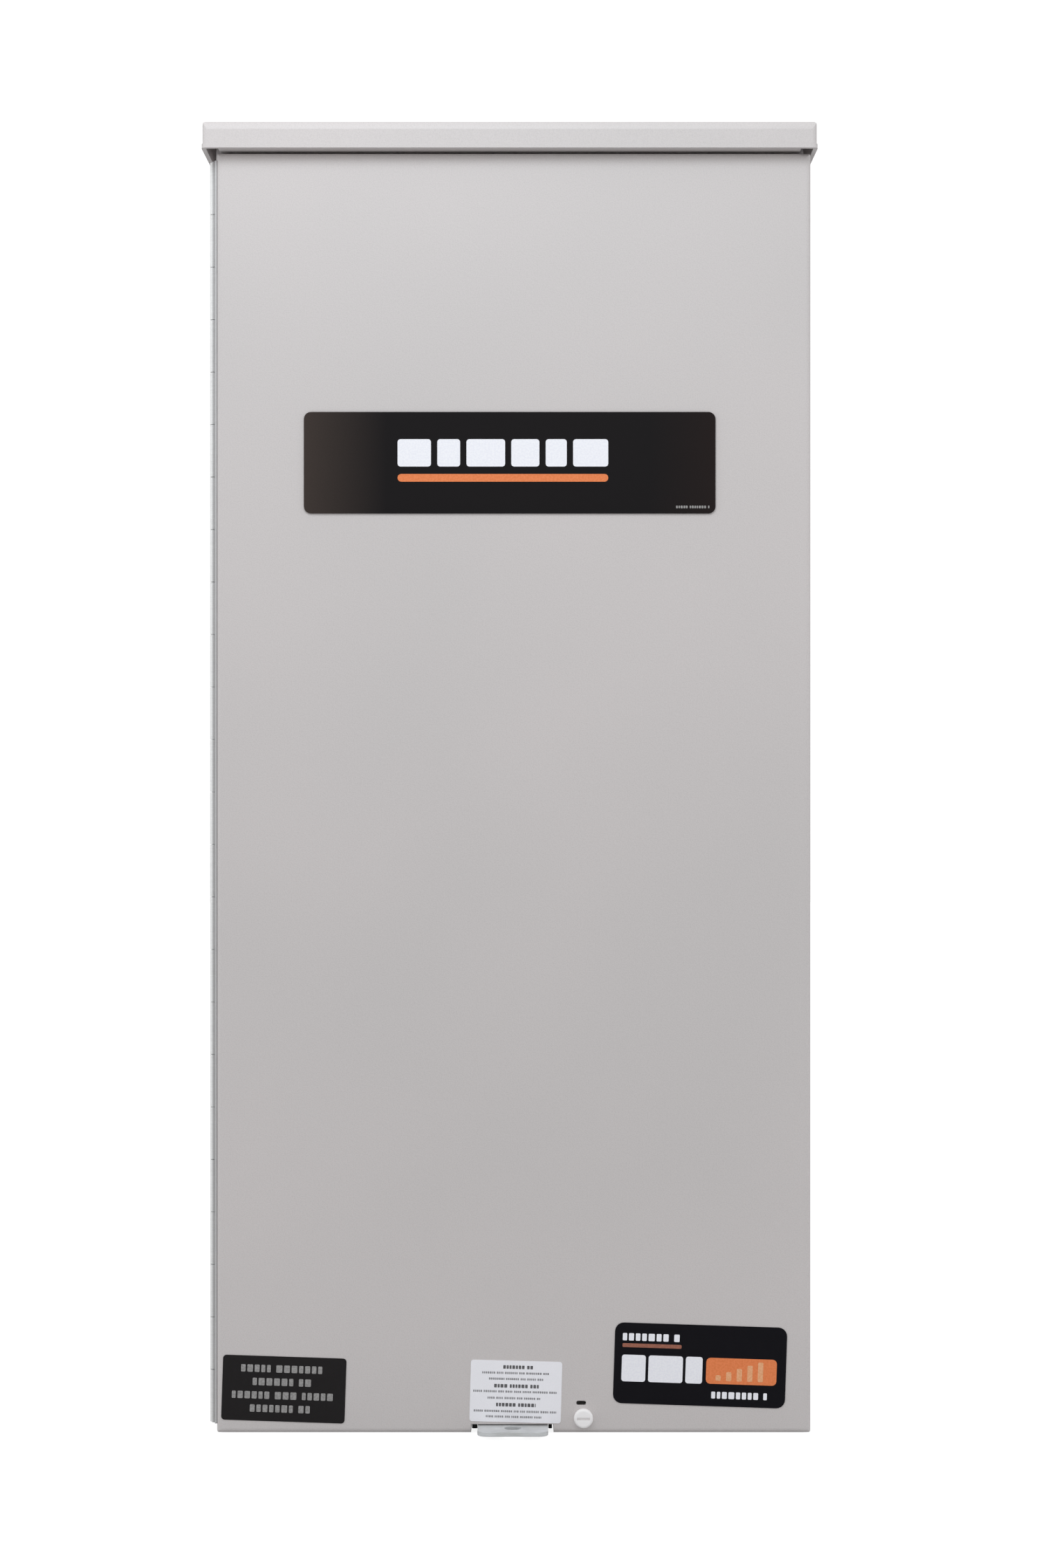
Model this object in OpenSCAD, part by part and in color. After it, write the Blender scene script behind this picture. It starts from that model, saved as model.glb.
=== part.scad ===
// Wall-mounted outdoor automatic transfer switch: rain-hooded cabinet, hinged door, service
// disconnect, transfer mechanism, neutral and earth bars and control gear.
// Origin: centre of the four wall holes on the back face. X right, -Y to the front, Z up.

/* [Cabinet] */
// Width over the cabinet's sides
cab_w = 337; // [337:1:345]
// Height from the door's lower edge to the top of the hood
cab_h = 746; // [740:1:800]
// Depth from the wall to the cabinet's front flanges
cab_d = 160; // [158:1:170]
// Sheet thickness
sheet = 2; // [1.5:0.1:2]
// Width of the front flanges
flange_w = 18; // [16:1:20]

/* [Wall holes] */
// Spacing of the wall holes across
hole_dx = 266.7; // [240:0.1:280]
// Spacing of the wall holes up
hole_dz = 679.4; // [600:0.1:690]
// Radius of a wall hole
hole_r = 4; // [3:0.5:5]

/* [Hood] */
// Height of the hood's lip
lip_h = 15.8; // [12:0.1:16]
// How far the lip stands in front of the door
lip_ahead = 8; // [6:0.5:10]
// Width over the hood's hem
hood_w = 349.7; // [349:0.1:356]
// Bend radius of the hood's front edge
hood_bend = 5; // [3:0.5:6]
// Height of the hem along the lip
hem_h = 2.6; // [2:0.1:4]

/* [Door] */
// Distance from the cabinet's flanges to the door's front face
door_step = 10; // [10:0.5:12]
// Overhang of the door past the cabinet's right side
door_past = 3; // [3:0.1:3.5]
// Gap between the hood's lip and the door
door_gap = 1.2; // [1:0.1:2]
// Depth of the door's long returns
return_d = 20; // [16:1:24]
// Left side of the hasp notch
notch_left = -22; // [-24:0.5:-20]
// Right side of the hasp notch
notch_right = 25; // [24:0.5:27]
// Height of the hasp notch
notch_h = 5; // [5:0.1:6]
// Place of the door screw across
screw_x = 42; // [38:1:60]
// Height of the door screw above the door's lower edge
screw_up = 8.6; // [8.6:0.1:9]
// Radius of the door screw's head
screw_head_r = 5.45; // [5:0.05:6]
// Place of the hinge axis across
hinge_x = -169.3; // [-169.4:0.1:-169.2]
// Distance of the hinge axis ahead of the cabinet's flanges
hinge_ahead = 2.4; // [2.4:0.1:2.6]

/* [Labels] */
// Width of the nameplate
plate_w = 234.3; // [200:0.1:240]
// Height of the nameplate
plate_h = 57.8; // [40:0.1:60]
// Height of the nameplate's centre
plate_z = 179.5; // [150:0.5:220]
// Tilt of the three small labels
label_tilt = -1.9; // [-3:0.1:3]

/* [Inside] */
// Middle of the disconnect and the transfer switch, across
gear_x = -50; // [-50:1:-48]
// Height of the disconnect's middle
breaker_z = 165; // [165:1:175]
// Height of the transfer shaft
switch_z = -60; // [-62:1:-58]
// Half the spacing of the two poles
pole_x = 30; // [30:0.5:31]
// Half the throw of the transfer shaft
throw = 17; // [15:0.5:17]
// Half the swing of the disconnect's toggle
toggle_lean = 18; // [15:1:18]

/* [Hidden] */
$fn = 48;

z_top = cab_h / 2;
z_bot = -cab_h / 2;
half_w = cab_w / 2;
floor_z = z_bot + 3;
roof_z = z_top - sheet;
bend_in = 1.2;
door_d = cab_d + door_step;
door_inner_d = door_d - sheet;
lip_z = z_top - lip_h;
door_top = lip_z - door_gap;
door_left = hinge_x + 2.4;
door_right = half_w + door_past;
hood_d = door_d + lip_ahead;
hem_out = 0.5;
hood_half = hood_w / 2 - hem_out;

screw_at = [screw_x, z_bot + screw_up];
screw_r = 2.5;
screw_hole_r = 2.9;

hinge_y = -cab_d - hinge_ahead;
knuckle_r = 2.1;
pin_r = 1;
pin_bore_r = 1.06;
leaf_t = 1.2;
knuckle_count = 24;
knuckle_gap = 0.3;
hinge_z0 = z_bot + 5;
hinge_h = door_top - 4 - hinge_z0;
knuckle_pitch = hinge_h / knuckle_count;

plate_front = 10;
plate_t = 2;
plate_half = 156;
plate_z0 = -335;
plate_z1 = 305;
stud_places = [for (x = [-146, 146]) for (z = [-320, 160, 290]) [x, z]];
stud_hole_r = 2.8;

knockouts = [[-95, 38], [0, 22], [95, 38]];
knockout_y = -78;
knockout_step = 9;
knockout_gap = 0.25;
side_knockout = [-80, -300, 22];

lug_w = 26;
lug_l = 28;
lug_h = 24;
lug_bore_h = 11;
lug_bore_r = 7.5;
lug_screw_r = 4.5;

breaker_size = [104, 172, 62];
tower_size = [60, 52, 90];
toggle_h = 82;
toggle_r = 12;
toggle_play = 0.3;
button_x = 22;
button_r = 3;

base_size = [130, 150, 22];
shaft_h = 48;
journal_r = 6;
journal_play = 0.06;
arm_reach = 44;
arm_t = 6;
strap_t = 3;
strap_w = 16;
strap_h = 50;
side_plate_x = 62;
coil_x = -86;
coil_h = 72;
coil_y0 = 46;
coil_len = 36;
plunger_r = 7;
crank_r = 24;
crank_rise = crank_r * sin(throw);
crank_x = coil_x + 14;
limit_x = 68;

neutral_z = 262;
neutral_x = [36, 144];
neutral_h = 26;
neutral_lug_x = [56, 90, 124];
ground_z = -318;
board_x = [48, 150];
board_z = [-62, 118];
board_h = 12;
board_t = 1.6;

// A point turned about the origin
function turned(v, a) = [v[0] * cos(a) - v[1] * sin(a), v[0] * sin(a) + v[1] * cos(a)];
function unit(v) = v / norm(v);
function left_of(v) = [-v[1], v[0]];
// Points of one rounded fold at b on the way from a to c, offset to the left by off
function fold(a, b, c, off, rc, n) =
    let (d1 = unit(b - a), d2 = unit(c - b), s = sign(cross(d1, d2)), ang = acos(d1 * d2))
    let (centre = b - d1 * rc * tan(ang / 2) + left_of(d1) * s * rc)
    [for (k = [0:n]) centre - turned(left_of(d1) * s, s * ang * k / n) * (rc - s * off)];
function strip_side(path, off, rc, n) =
    let (last = len(path) - 1)
    concat(
        [path[0] + left_of(unit(path[1] - path[0])) * off],
        [for (i = [1:last - 1]) each fold(path[i - 1], path[i], path[i + 1], off, rc, n)],
        [path[last] + left_of(unit(path[last] - path[last - 1])) * off]
    );
function backwards(list) = [for (i = [len(list) - 1:-1:0]) list[i]];
// Outline of a sheet of thickness t folded along a path
module folded_sheet(path, t, inner = bend_in, n = 4)
    polygon(concat(strip_side(path, t / 2, inner + t / 2, n),
        backwards(strip_side(path, -t / 2, inner + t / 2, n))));
function arc(cx, cy, r, a0, a1, n = 5) =
    [for (k = [0:n]) [cx + r * cos(a0 + (a1 - a0) * k / n), cy + r * sin(a0 + (a1 - a0) * k / n)]];
// Rectangle from corner lo to corner hi with round corners
module rounded(lo, hi, r)
    polygon(concat(
        arc(hi[0] - r, hi[1] - r, r, 0, 90),
        arc(lo[0] + r, hi[1] - r, r, 90, 180),
        arc(lo[0] + r, lo[1] + r, r, 180, 270),
        arc(hi[0] - r, lo[1] + r, r, 270, 360)
    ));
module card(size, r) rounded([-size[0] / 2, -size[1] / 2], [size[0] / 2, size[1] / 2], r);

// Local X right, local Y up, local Z to the front, starting d from the wall
module facing(d) translate([0, -d, 0]) rotate([90, 0, 0]) children();
module on_plate(x, z) translate([x, 0, z]) facing(plate_front) children();
module at_breaker() on_plate(gear_x, breaker_z) children();
module at_switch() on_plate(gear_x, switch_z) children();
// Profile in (y, z), or in (up, out) inside a facing frame, drawn out along X and centred
module along_x(length) translate([-length / 2, 0, 0]) rotate([90, 0, 90]) linear_extrude(length) children();
module at_screw(d) translate([screw_at[0], 0, screw_at[1]]) facing(d) children();
module block(lo, hi) translate(lo) cube(hi - lo);
module tube(r_out, r_in, h)
    difference() {
        cylinder(r = r_out, h = h);
        translate([0, 0, -1]) cylinder(r = r_in, h = h + 2);
    }
module pan_screw(r, h, shank_r, shank_l)
    difference() {
        union() {
            cylinder(r = r, h = h);
            translate([0, 0, -shank_l]) cylinder(r = shank_r, h = shank_l + 0.1);
        }
        translate([-r, -0.5, h * 0.5]) cube([2 * r, 1, h]);
    }

// ---- Enclosure ----

module cabinet_shell() {
    side = half_w - sheet / 2;
    front_y = -cab_d + sheet / 2;
    color("gainsboro")
    difference() {
        translate([0, 0, floor_z])
            linear_extrude(roof_z - floor_z)
                folded_sheet([
                    [half_w - flange_w, front_y], [side, front_y], [side, -sheet / 2],
                    [-side, -sheet / 2], [-side, front_y], [-half_w + flange_w, front_y]
                ], sheet);
        for (x = [-hole_dx / 2, hole_dx / 2], z = [-hole_dz / 2, hole_dz / 2])
            translate([x, 1, z]) rotate([90, 0, 0]) cylinder(r = hole_r, h = sheet + 2);
        translate([half_w - sheet - 1, side_knockout[0], side_knockout[1]])
            rotate([0, 90, 0]) cylinder(r = side_knockout[2], h = sheet + 2);
    }
}

module bottom_panel() {
    play = 0.45;
    wide = half_w - sheet - play;
    mouth = half_w - flange_w - 0.5;
    rear = -sheet - play;
    ahead = -cab_d + sheet + play;
    rim = 18;
    color("gainsboro")
    difference() {
        union() {
            block([-wide, ahead, floor_z], [wide, rear, floor_z + sheet]);
            for (s = [-1, 1])
                translate([s * (wide - sheet / 2), (ahead + rear) / 2, floor_z + rim / 2])
                    cube([sheet, rear - ahead, rim], center = true);
            block([-wide, rear - sheet, floor_z], [wide, rear, floor_z + rim]);
            block([-mouth, -cab_d, floor_z], [mouth, ahead + 0.1, floor_z + sheet]);
            block([-mouth, -cab_d, floor_z], [mouth, -cab_d + sheet, floor_z + rim + 6]);
        }
        for (k = knockouts)
            translate([k[0], knockout_y, floor_z - 1]) cylinder(r = k[1], h = sheet + 2);
        at_screw(cab_d - sheet - 1) cylinder(r = screw_hole_r, h = sheet + 2);
    }
}

// Rings and a centre disc that can be knocked out of a hole of radius r
module rings(r)
    for (outer = [r:-knockout_step:knockout_step])
        difference() {
            cylinder(r = outer - knockout_gap, h = sheet * 0.8);
            if (outer - knockout_step >= knockout_step)
                translate([0, 0, -1]) cylinder(r = outer - knockout_step, h = sheet + 2);
        }
module knockout_blanks() {
    color("silver") {
        for (k = knockouts)
            translate([k[0], knockout_y, floor_z + 0.1]) rings(k[1]);
        translate([half_w - sheet + 0.2, side_knockout[0], side_knockout[1]])
            rotate([0, 90, 0]) rings(side_knockout[2]);
    }
}

// Block with the hood's outer form, taken in by inset, down to the level low
module hood_form(inset, low) {
    deep = hood_d - hem_out - inset;
    half = hood_half - inset;
    top = z_top - inset;
    front_r = hood_bend - inset;
    side_r = 2.6 - inset;
    intersection() {
        along_x(2 * half)
            polygon(concat([[0, low], [0, top]],
                arc(-deep + front_r, top - front_r, front_r, 90, 180), [[-deep, low]]));
        facing(0)
            linear_extrude(deep)
                polygon(concat([[-half, low]], arc(-half + side_r, top - side_r, side_r, 180, 90),
                    arc(half - side_r, top - side_r, side_r, 90, 0), [[half, low]]));
        translate([0, 0, low])
            linear_extrude(top - low)
                polygon(concat([[-half, 0]], arc(-half + side_r, -deep + side_r, side_r, 180, 270),
                    arc(half - side_r, -deep + side_r, side_r, 270, 360), [[half, 0]]));
    }
}
module top_hood() {
    color("gainsboro")
    difference() {
        union() {
            hood_form(0, lip_z);
            intersection() {
                hood_form(-hem_out, lip_z);
                block([-hood_w, -hood_d, lip_z - 1], [hood_w, 0, lip_z + hem_h]);
            }
        }
        hood_form(sheet, lip_z - 1);
        block([-half_w, -sheet, lip_z - 1], [half_w, 1, roof_z]);
    }
}

module top_header() {
    low = door_top - 12;
    color("gainsboro")
    along_x(cab_w - 2 * flange_w - 1)
        folded_sheet([[-cab_d + sheet / 2, low], [-cab_d + sheet / 2, roof_z - sheet / 2],
            [-cab_d + 22, roof_z - sheet / 2]], sheet);
}

module hasp_plate() {
    reach = door_d + 18;
    left = -18.2;
    right = 21.8;
    low = z_bot + 2;
    thick = 2.4;
    corner = 5;
    color("lightgray")
    difference() {
        union() {
            translate([0, 0, low])
                linear_extrude(thick)
                    polygon(concat([[right, -cab_d], [left, -cab_d]],
                        arc(left + corner, -reach + corner, corner, 180, 270),
                        arc(right - corner, -reach + corner, corner, 270, 360)));
            block([left, -cab_d - thick, low], [right, -cab_d, low + 22]);
        }
        translate([(left + right) / 2, -door_d - 7, low - 1]) cylinder(r = 4.7, h = thick + 2);
    }
}

module backplate() {
    color("silver")
    difference() {
        facing(plate_front - plate_t)
            linear_extrude(plate_t) rounded([-plate_half, plate_z0], [plate_half, plate_z1], 6);
        for (p = stud_places)
            translate([p[0], 0, p[1]])
                facing(plate_front - plate_t - 1) cylinder(r = stud_hole_r, h = plate_t + 2);
    }
}
module backplate_studs() {
    color("silver")
    for (p = stud_places)
        translate([p[0], 0, p[1]]) {
            facing(sheet) cylinder(r = 6, h = plate_front - plate_t - sheet);
            facing(plate_front - plate_t) cylinder(r = 2.5, h = 9);
            facing(plate_front) rotate(30) cylinder(r = 5.2, h = 4, $fn = 6);
        }
}

// ---- Hinge ----

module knuckles(first)
    for (i = [first:2:knuckle_count - 1])
        translate([hinge_x, hinge_y, hinge_z0 + i * knuckle_pitch + knuckle_gap / 2])
            cylinder(r = knuckle_r, h = knuckle_pitch - knuckle_gap);
module knuckle_tabs(first, x, y0, y1)
    for (i = [first:2:knuckle_count - 1])
        block([x, y0, hinge_z0 + i * knuckle_pitch + knuckle_gap / 2],
            [x + leaf_t, y1, hinge_z0 + (i + 1) * knuckle_pitch - knuckle_gap / 2]);
module pin_bore()
    translate([hinge_x, hinge_y, hinge_z0 - 1]) cylinder(r = pin_bore_r, h = hinge_h + 2);

module hinge_leaf_cabinet() {
    x = -half_w - leaf_t;
    color("lightgray")
    difference() {
        union() {
            knuckles(0);
            knuckle_tabs(0, x, hinge_y, -cab_d + 1);
            block([x, -cab_d + 0.2, hinge_z0], [x + leaf_t, -cab_d + 24, hinge_z0 + hinge_h]);
        }
        pin_bore();
    }
}
module hinge_leaf_door() {
    x = door_left - leaf_t;
    color("lightgray")
    difference() {
        union() {
            knuckles(1);
            knuckle_tabs(1, x, hinge_y - 3, hinge_y);
            block([x, -door_d + 1.5, hinge_z0], [x + leaf_t, hinge_y - 2.6, hinge_z0 + hinge_h]);
        }
        pin_bore();
    }
}
module hinge_pin() {
    color("silver")
    translate([hinge_x, hinge_y, hinge_z0 - 0.5]) cylinder(r = pin_r, h = hinge_h + 1);
}
module hinge_rivets() {
    count = 9;
    color("silver")
    for (i = [0:count - 1])
        translate([-half_w - leaf_t, -cab_d + 13, hinge_z0 + hinge_h * (i + 0.5) / count])
            rotate([0, -90, 0])
                rotate_extrude()
                    polygon([[0, 0], [2.6, 0], [2.5, 0.4], [2, 0.8], [1.2, 1], [0, 1.1]]);
}

// ---- Door ----

module door_form(inset, behind) {
    l = door_left + inset;
    r = door_right - inset;
    b = z_bot + inset;
    t = door_top - inset;
    f = -door_d + inset;
    edge_r = 2.6 - inset;
    back = -door_d + behind;
    intersection() {
        translate([0, 0, b])
            linear_extrude(t - b)
                polygon(concat([[r, back], [l, back]], arc(l + edge_r, f + edge_r, edge_r, 180, 270),
                    arc(r - edge_r, f + edge_r, edge_r, 270, 360)));
        translate([(l + r) / 2, 0, 0])
            along_x(r - l)
                polygon(concat([[back, b], [back, t]], arc(f + edge_r, t - edge_r, edge_r, 90, 180),
                    arc(f + edge_r, b + edge_r, edge_r, 180, 270)));
        facing(-back)
            linear_extrude(door_d) rounded([l, b], [r, t], max(edge_r * 0.7, 0.3));
    }
}
module door_panel() {
    short_return = door_step - 1.2;
    color("gainsboro")
    difference() {
        door_form(0, return_d);
        door_form(sheet, return_d + 1);
        block([door_left - 1, -door_d + short_return, z_bot - 1],
            [door_left + sheet + 1, -door_d + return_d + 1, door_top + 1]);
        block([door_left - 1, -door_d + short_return, door_top - sheet - 1],
            [door_right + 1, -door_d + return_d + 1, door_top + 1]);
        block([notch_left, -door_d - 1, z_bot - 1], [notch_right, -door_d + return_d + 1, z_bot + notch_h]);
        at_screw(door_inner_d - 1) cylinder(r = screw_hole_r, h = sheet + 2);
        translate([screw_at[0] - 1.3, 0, screw_at[1] + 8.5])
            facing(door_inner_d - 1)
                linear_extrude(sheet + 2) rounded([-2.75, -1.2], [2.75, 1.2], 1.1);
    }
}
module door_stiffeners() {
    hat_h = 6;
    t = 1.2;
    color("gainsboro")
    for (z = [-190, 60])
        translate([0, -door_inner_d, z])
            along_x(270)
                folded_sheet([
                    [t / 2, -30], [t / 2, -18], [hat_h, -14], [hat_h, 14], [t / 2, 18], [t / 2, 30]
                ], t, 0.6, 2);
}
module door_seal() {
    wide = 8;
    thick = door_inner_d - cab_d - 0.3;
    left = door_left + 5;
    right = half_w - 4;
    top = door_top - 3;
    low = z_bot + 30;
    color("dimgray")
    facing(cab_d + 0.3)
        linear_extrude(thick)
            polygon([
                [left, low], [left, top], [right, top], [right, low], [right - wide, low],
                [right - wide, top - wide], [left + wide, top - wide], [left + wide, low]
            ]);
}
module door_label(x, z, size, r, t, tilt)
    translate([x, 0, z]) facing(door_d) rotate(tilt) linear_extrude(t) card(size, r);
module main_label() {
    color("black") door_label(0, plate_z, [plate_w, plate_h], 4, 0.8, 0);
}
module corner_label_left() {
    color("black") door_label(-128.6, z_bot + 25, [70.3, 37], 2, 0.25, label_tilt);
}
module notice_label() {
    color("white") door_label(3.5, z_bot + 23.6, [52, 35], 1.5, 0.25, label_tilt * 0.8);
}
module corner_label_right() {
    color("black") door_label(108.4, z_bot + 38.5, [98, 46], 5, 0.3, label_tilt);
}
module inner_label() {
    color("white")
    translate([-10, 0, -65]) facing(door_inner_d - 0.3) linear_extrude(0.3) card([150, 180], 3);
}

// Round-edged slotted head in front of the door, shank into the cabinet's flange, washer behind
module door_screw() {
    edge_r = 1.4;
    head_h = 3.2;
    head_edge = arc(screw_head_r - edge_r, head_h - edge_r, edge_r, 0, 90);
    color("whitesmoke")
    at_screw(door_d + 0.1)
        difference() {
            union() {
                rotate_extrude() polygon(concat([[0, 0], [screw_head_r, 0]], head_edge, [[0, head_h]]));
                translate([0, 0, -16]) cylinder(r = screw_r, h = 16.1);
            }
            translate([-3.6, -0.6, 2.1]) cube([7.2, 1.2, 2]);
        }
    color("dimgray") at_screw(door_inner_d - 1.4) tube(4.2, screw_r, 1.2);
}
module clip_nut() {
    lo = [-6, -3.2];
    hi = [6, 11];
    deep = 3.5;
    color("dimgray")
    at_screw(cab_d - sheet - deep)
        difference() {
            union() {
                linear_extrude(1.2) rounded(lo, hi, 0.8);
                translate([0, 0, 1]) cylinder(r = 3.15, h = deep - 1);
                block([lo[0] + 1, hi[1] - 1.4, 0], [hi[0] - 1, hi[1] - 0.2, deep]);
            }
            translate([0, 0, -1]) cylinder(r = screw_hole_r, h = deep + 2);
        }
}

// ---- Lugs: a block with a cable bore along the local Y and a set screw from the front ----

module lug()
    difference() {
        block([-lug_w / 2, -lug_l / 2, 0], [lug_w / 2, lug_l / 2, lug_h]);
        translate([0, lug_l, lug_bore_h]) rotate([90, 0, 0]) cylinder(r = lug_bore_r, h = 2 * lug_l);
        translate([0, 0, lug_bore_h]) cylinder(r = lug_screw_r + 0.1, h = lug_h);
    }
module lug_screw()
    translate([0, 0, lug_bore_h + lug_bore_r + 1])
        difference() {
            cylinder(r = lug_screw_r, h = 9);
            translate([0, 0, 4]) cylinder(r = 2.9, h = 6, $fn = 6);
        }
line_lug_y = 66;
line_lug_h = 14;
gen_lug_y = -64;
gen_lug_h = strap_h + strap_t / 2;
load_lug_x = 55;
load_lug_y = -118;
load_strap_h = 33.7;
neutral_top = 36;

module each_lug() {
    at_breaker()
        for (s = [-1, 1]) translate([s * pole_x, line_lug_y, line_lug_h]) children();
    at_switch()
        for (s = [-1, 1]) {
            translate([s * pole_x, gen_lug_y, gen_lug_h]) children();
            translate([s * load_lug_x, load_lug_y, load_strap_h]) children();
        }
    on_plate(0, neutral_z)
        for (x = neutral_lug_x) translate([x, 0, neutral_top]) children();
}
module cable_lugs() {
    color("silver") each_lug() lug();
}
module lug_set_screws() {
    color("gray") each_lug() lug_screw();
}

// ---- Service disconnect ----

module breaker_case() {
    w = breaker_size[0];
    h = breaker_size[1];
    d = breaker_size[2];
    pocket_w = 31;
    color("#2b2b2e")
    at_breaker()
        difference() {
            union() {
                block([-w / 2, -h / 2, 0], [w / 2, h / 2, d]);
                block([-tower_size[0] / 2, -tower_size[1] / 2, d - 1],
                    [tower_size[0] / 2, tower_size[1] / 2, tower_size[2]]);
                block([-w / 2 + 8, -h / 2 + 40, d - 1], [w / 2 - 8, h / 2 - 40, d + 6]);
            }
            for (s = [-1, 1]) {
                block([s * pole_x - pocket_w / 2, h / 2 - 37, line_lug_h],
                    [s * pole_x + pocket_w / 2, h / 2 + 1, d + 1]);
                block([s * pole_x - pocket_w / 2, -h / 2 - 1, strap_h - strap_t / 2],
                    [s * pole_x + pocket_w / 2, -h / 2 + 30, d + 1]);
            }
            for (i = [-1:1])
                block([i * 7 - 1.5, h / 2 - 34, d - 3], [i * 7 + 1.5, h / 2 - 8, d + 1]);
            translate([-11, 0, toggle_h])
                rotate([0, 90, 0]) cylinder(r = toggle_r + toggle_play, h = 22);
            translate([button_x, 0, tower_size[2] - 7]) cylinder(r = button_r + 0.3, h = 8);
        }
}
module breaker_toggle() {
    color("#3a3a3e")
    at_breaker()
        translate([0, 0, toggle_h])
            rotate([-toggle_lean, 0, 0]) {
                translate([-10.6, 0, 0]) rotate([0, 90, 0]) cylinder(r = toggle_r, h = 21.2);
                block([-7, -5, 0], [7, 5, 24]);
                block([-9, -5.5, 23], [9, 5.5, 36]);
            }
}
module breaker_test_button() {
    color("crimson")
    at_breaker() translate([button_x, 0, tower_size[2] - 4.6]) cylinder(r = button_r, h = 6.4);
}

dead_w = 122;
dead_d = 97;
dead_z = [62, 268];
dead_foot = 12;
dead_screw_z = [80, 250];
module dead_front() {
    t = 1.6;
    side = dead_w / 2;
    foot_y = -plate_front - t / 2;
    window = [tower_size[0] / 2 + 1, tower_size[1] / 2 + 1];
    color("whitesmoke")
    difference() {
        translate([gear_x, 0, dead_z[0]])
            linear_extrude(dead_z[1] - dead_z[0])
                folded_sheet([
                    [side + dead_foot, foot_y], [side, foot_y], [side, -dead_d],
                    [-side, -dead_d], [-side, foot_y], [-side - dead_foot, foot_y]
                ], t);
        translate([gear_x, 0, breaker_z])
            facing(dead_d - 4)
                linear_extrude(8) rounded([-window[0], -window[1]], [window[0], window[1]], 2);
        for (s = [-1, 1], z = dead_screw_z)
            translate([gear_x + s * (side + 7), 0, z]) facing(plate_front - 1) cylinder(r = 2.3, h = 5);
    }
}
module dead_front_screws() {
    color("silver")
    for (s = [-1, 1], z = dead_screw_z)
        translate([gear_x + s * (dead_w / 2 + 7), 0, z])
            facing(plate_front + 1.7) pan_screw(3.8, 2.4, 2, 1.6);
}

// Copper straps from the disconnect's lower end, through the current sensors, to the switch
module bus_links() {
    top_y = breaker_z - breaker_size[1] / 2 + 26 - switch_z;
    low_y = 72;
    color("#b87333")
    at_switch()
        for (s = [-1, 1])
            translate([s * pole_x, 0, 0])
                along_x(strap_w)
                    folded_sheet([[top_y, strap_h], [low_y + 14, strap_h],
                        [low_y + 6, strap_h + strap_t], [low_y - 16, strap_h + strap_t]], strap_t, 1, 2);
}
// Ring around each strap, on a foot
module current_transformers() {
    y = 104;
    long = 14;
    ring_r = 17;
    hole_r = 10.5;
    color("royalblue")
    at_switch()
        for (s = [-1, 1])
            translate([s * pole_x, y, 0])
                difference() {
                    union() {
                        translate([0, long, strap_h]) rotate([90, 0, 0]) cylinder(r = ring_r, h = long);
                        block([-11, 0, 0], [11, long, strap_h - hole_r]);
                    }
                    translate([0, long + 1, strap_h]) rotate([90, 0, 0]) cylinder(r = hole_r, h = long + 2);
                }
}

// ---- Transfer mechanism: local Y up, local Z out, shaft along X at y = 0 ----

module switch_base() {
    w = base_size[0] / 2;
    h = base_size[1] / 2;
    riser_y = [50, 74];
    color("#5c1f1a")
    at_switch()
        difference() {
            union() {
                block([-w, -h, 0], [w, h, base_size[2]]);
                for (s = [-1, 1], y = [riser_y[0], -riser_y[1]])
                    block([s * pole_x - 12, y, base_size[2] - 1],
                        [s * pole_x + 12, y + riser_y[1] - riser_y[0], strap_h - strap_t / 2]);
                block([-w, load_lug_y - 18, 0], [w, -h + 1, base_size[2] - 6]);
                for (s = [-1, 1])
                    block([s * load_lug_x - 10, load_lug_y - 14, 10],
                        [s * load_lug_x + 10, load_lug_y + 14, load_strap_h - strap_t]);
                for (y = [-h, 22])
                    block([-2, y, base_size[2] - 1], [2, y + h - 22, 44]);
            }
            for (s = [-1, 1])
                block([s * pole_x - 9, -h - 1, load_strap_h - 5], [s * pole_x + 9, 0, load_strap_h + 2.5]);
        }
}

// Utility contacts above the shaft, generator contacts below it
module contact_strap() {
    offset_y = arm_t / 2 + 0.3 + 2 + strap_t / 2;
    tip = turned([offset_y, arm_reach], -throw);
    root = turned([offset_y, arm_reach / 2], -throw);
    along_x(strap_w)
        folded_sheet([[tip[0], shaft_h + tip[1]], [root[0], shaft_h + root[1]], [24, strap_h],
            [74, strap_h]], strap_t, 1, 2);
    translate([0, 0, shaft_h])
        rotate([-throw, 0, 0])
            translate([0, arm_t / 2 + 0.3, arm_reach - 7])
                rotate([-90, 0, 0]) cylinder(r = 5, h = 2.05);
}
module fixed_contacts() {
    color("#c77b3b")
    at_switch()
        for (s = [-1, 1], m = [0, 1])
            translate([s * pole_x, 0, 0]) mirror([0, m, 0]) contact_strap();
}
module load_straps() {
    z0 = load_strap_h - strap_t;
    color("#b87333")
    at_switch()
        for (m = [0, 1])
            mirror([m, 0, 0]) {
                block([pole_x - 8, load_lug_y + 6, z0], [pole_x + 8, 8, z0 + strap_t]);
                block([pole_x - 8, load_lug_y - 12, z0],
                    [load_lug_x + 12, load_lug_y + 12, z0 + strap_t]);
            }
}
module mechanism_plates() {
    color("silver")
    at_switch()
        for (x = [-side_plate_x - 3, side_plate_x])
            difference() {
                block([x, -34, base_size[2]], [x + 3, 34, shaft_h + 20]);
                translate([x - 1, 0, shaft_h])
                    rotate([0, 90, 0]) cylinder(r = journal_r + journal_play, h = 5);
            }
}
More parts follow.
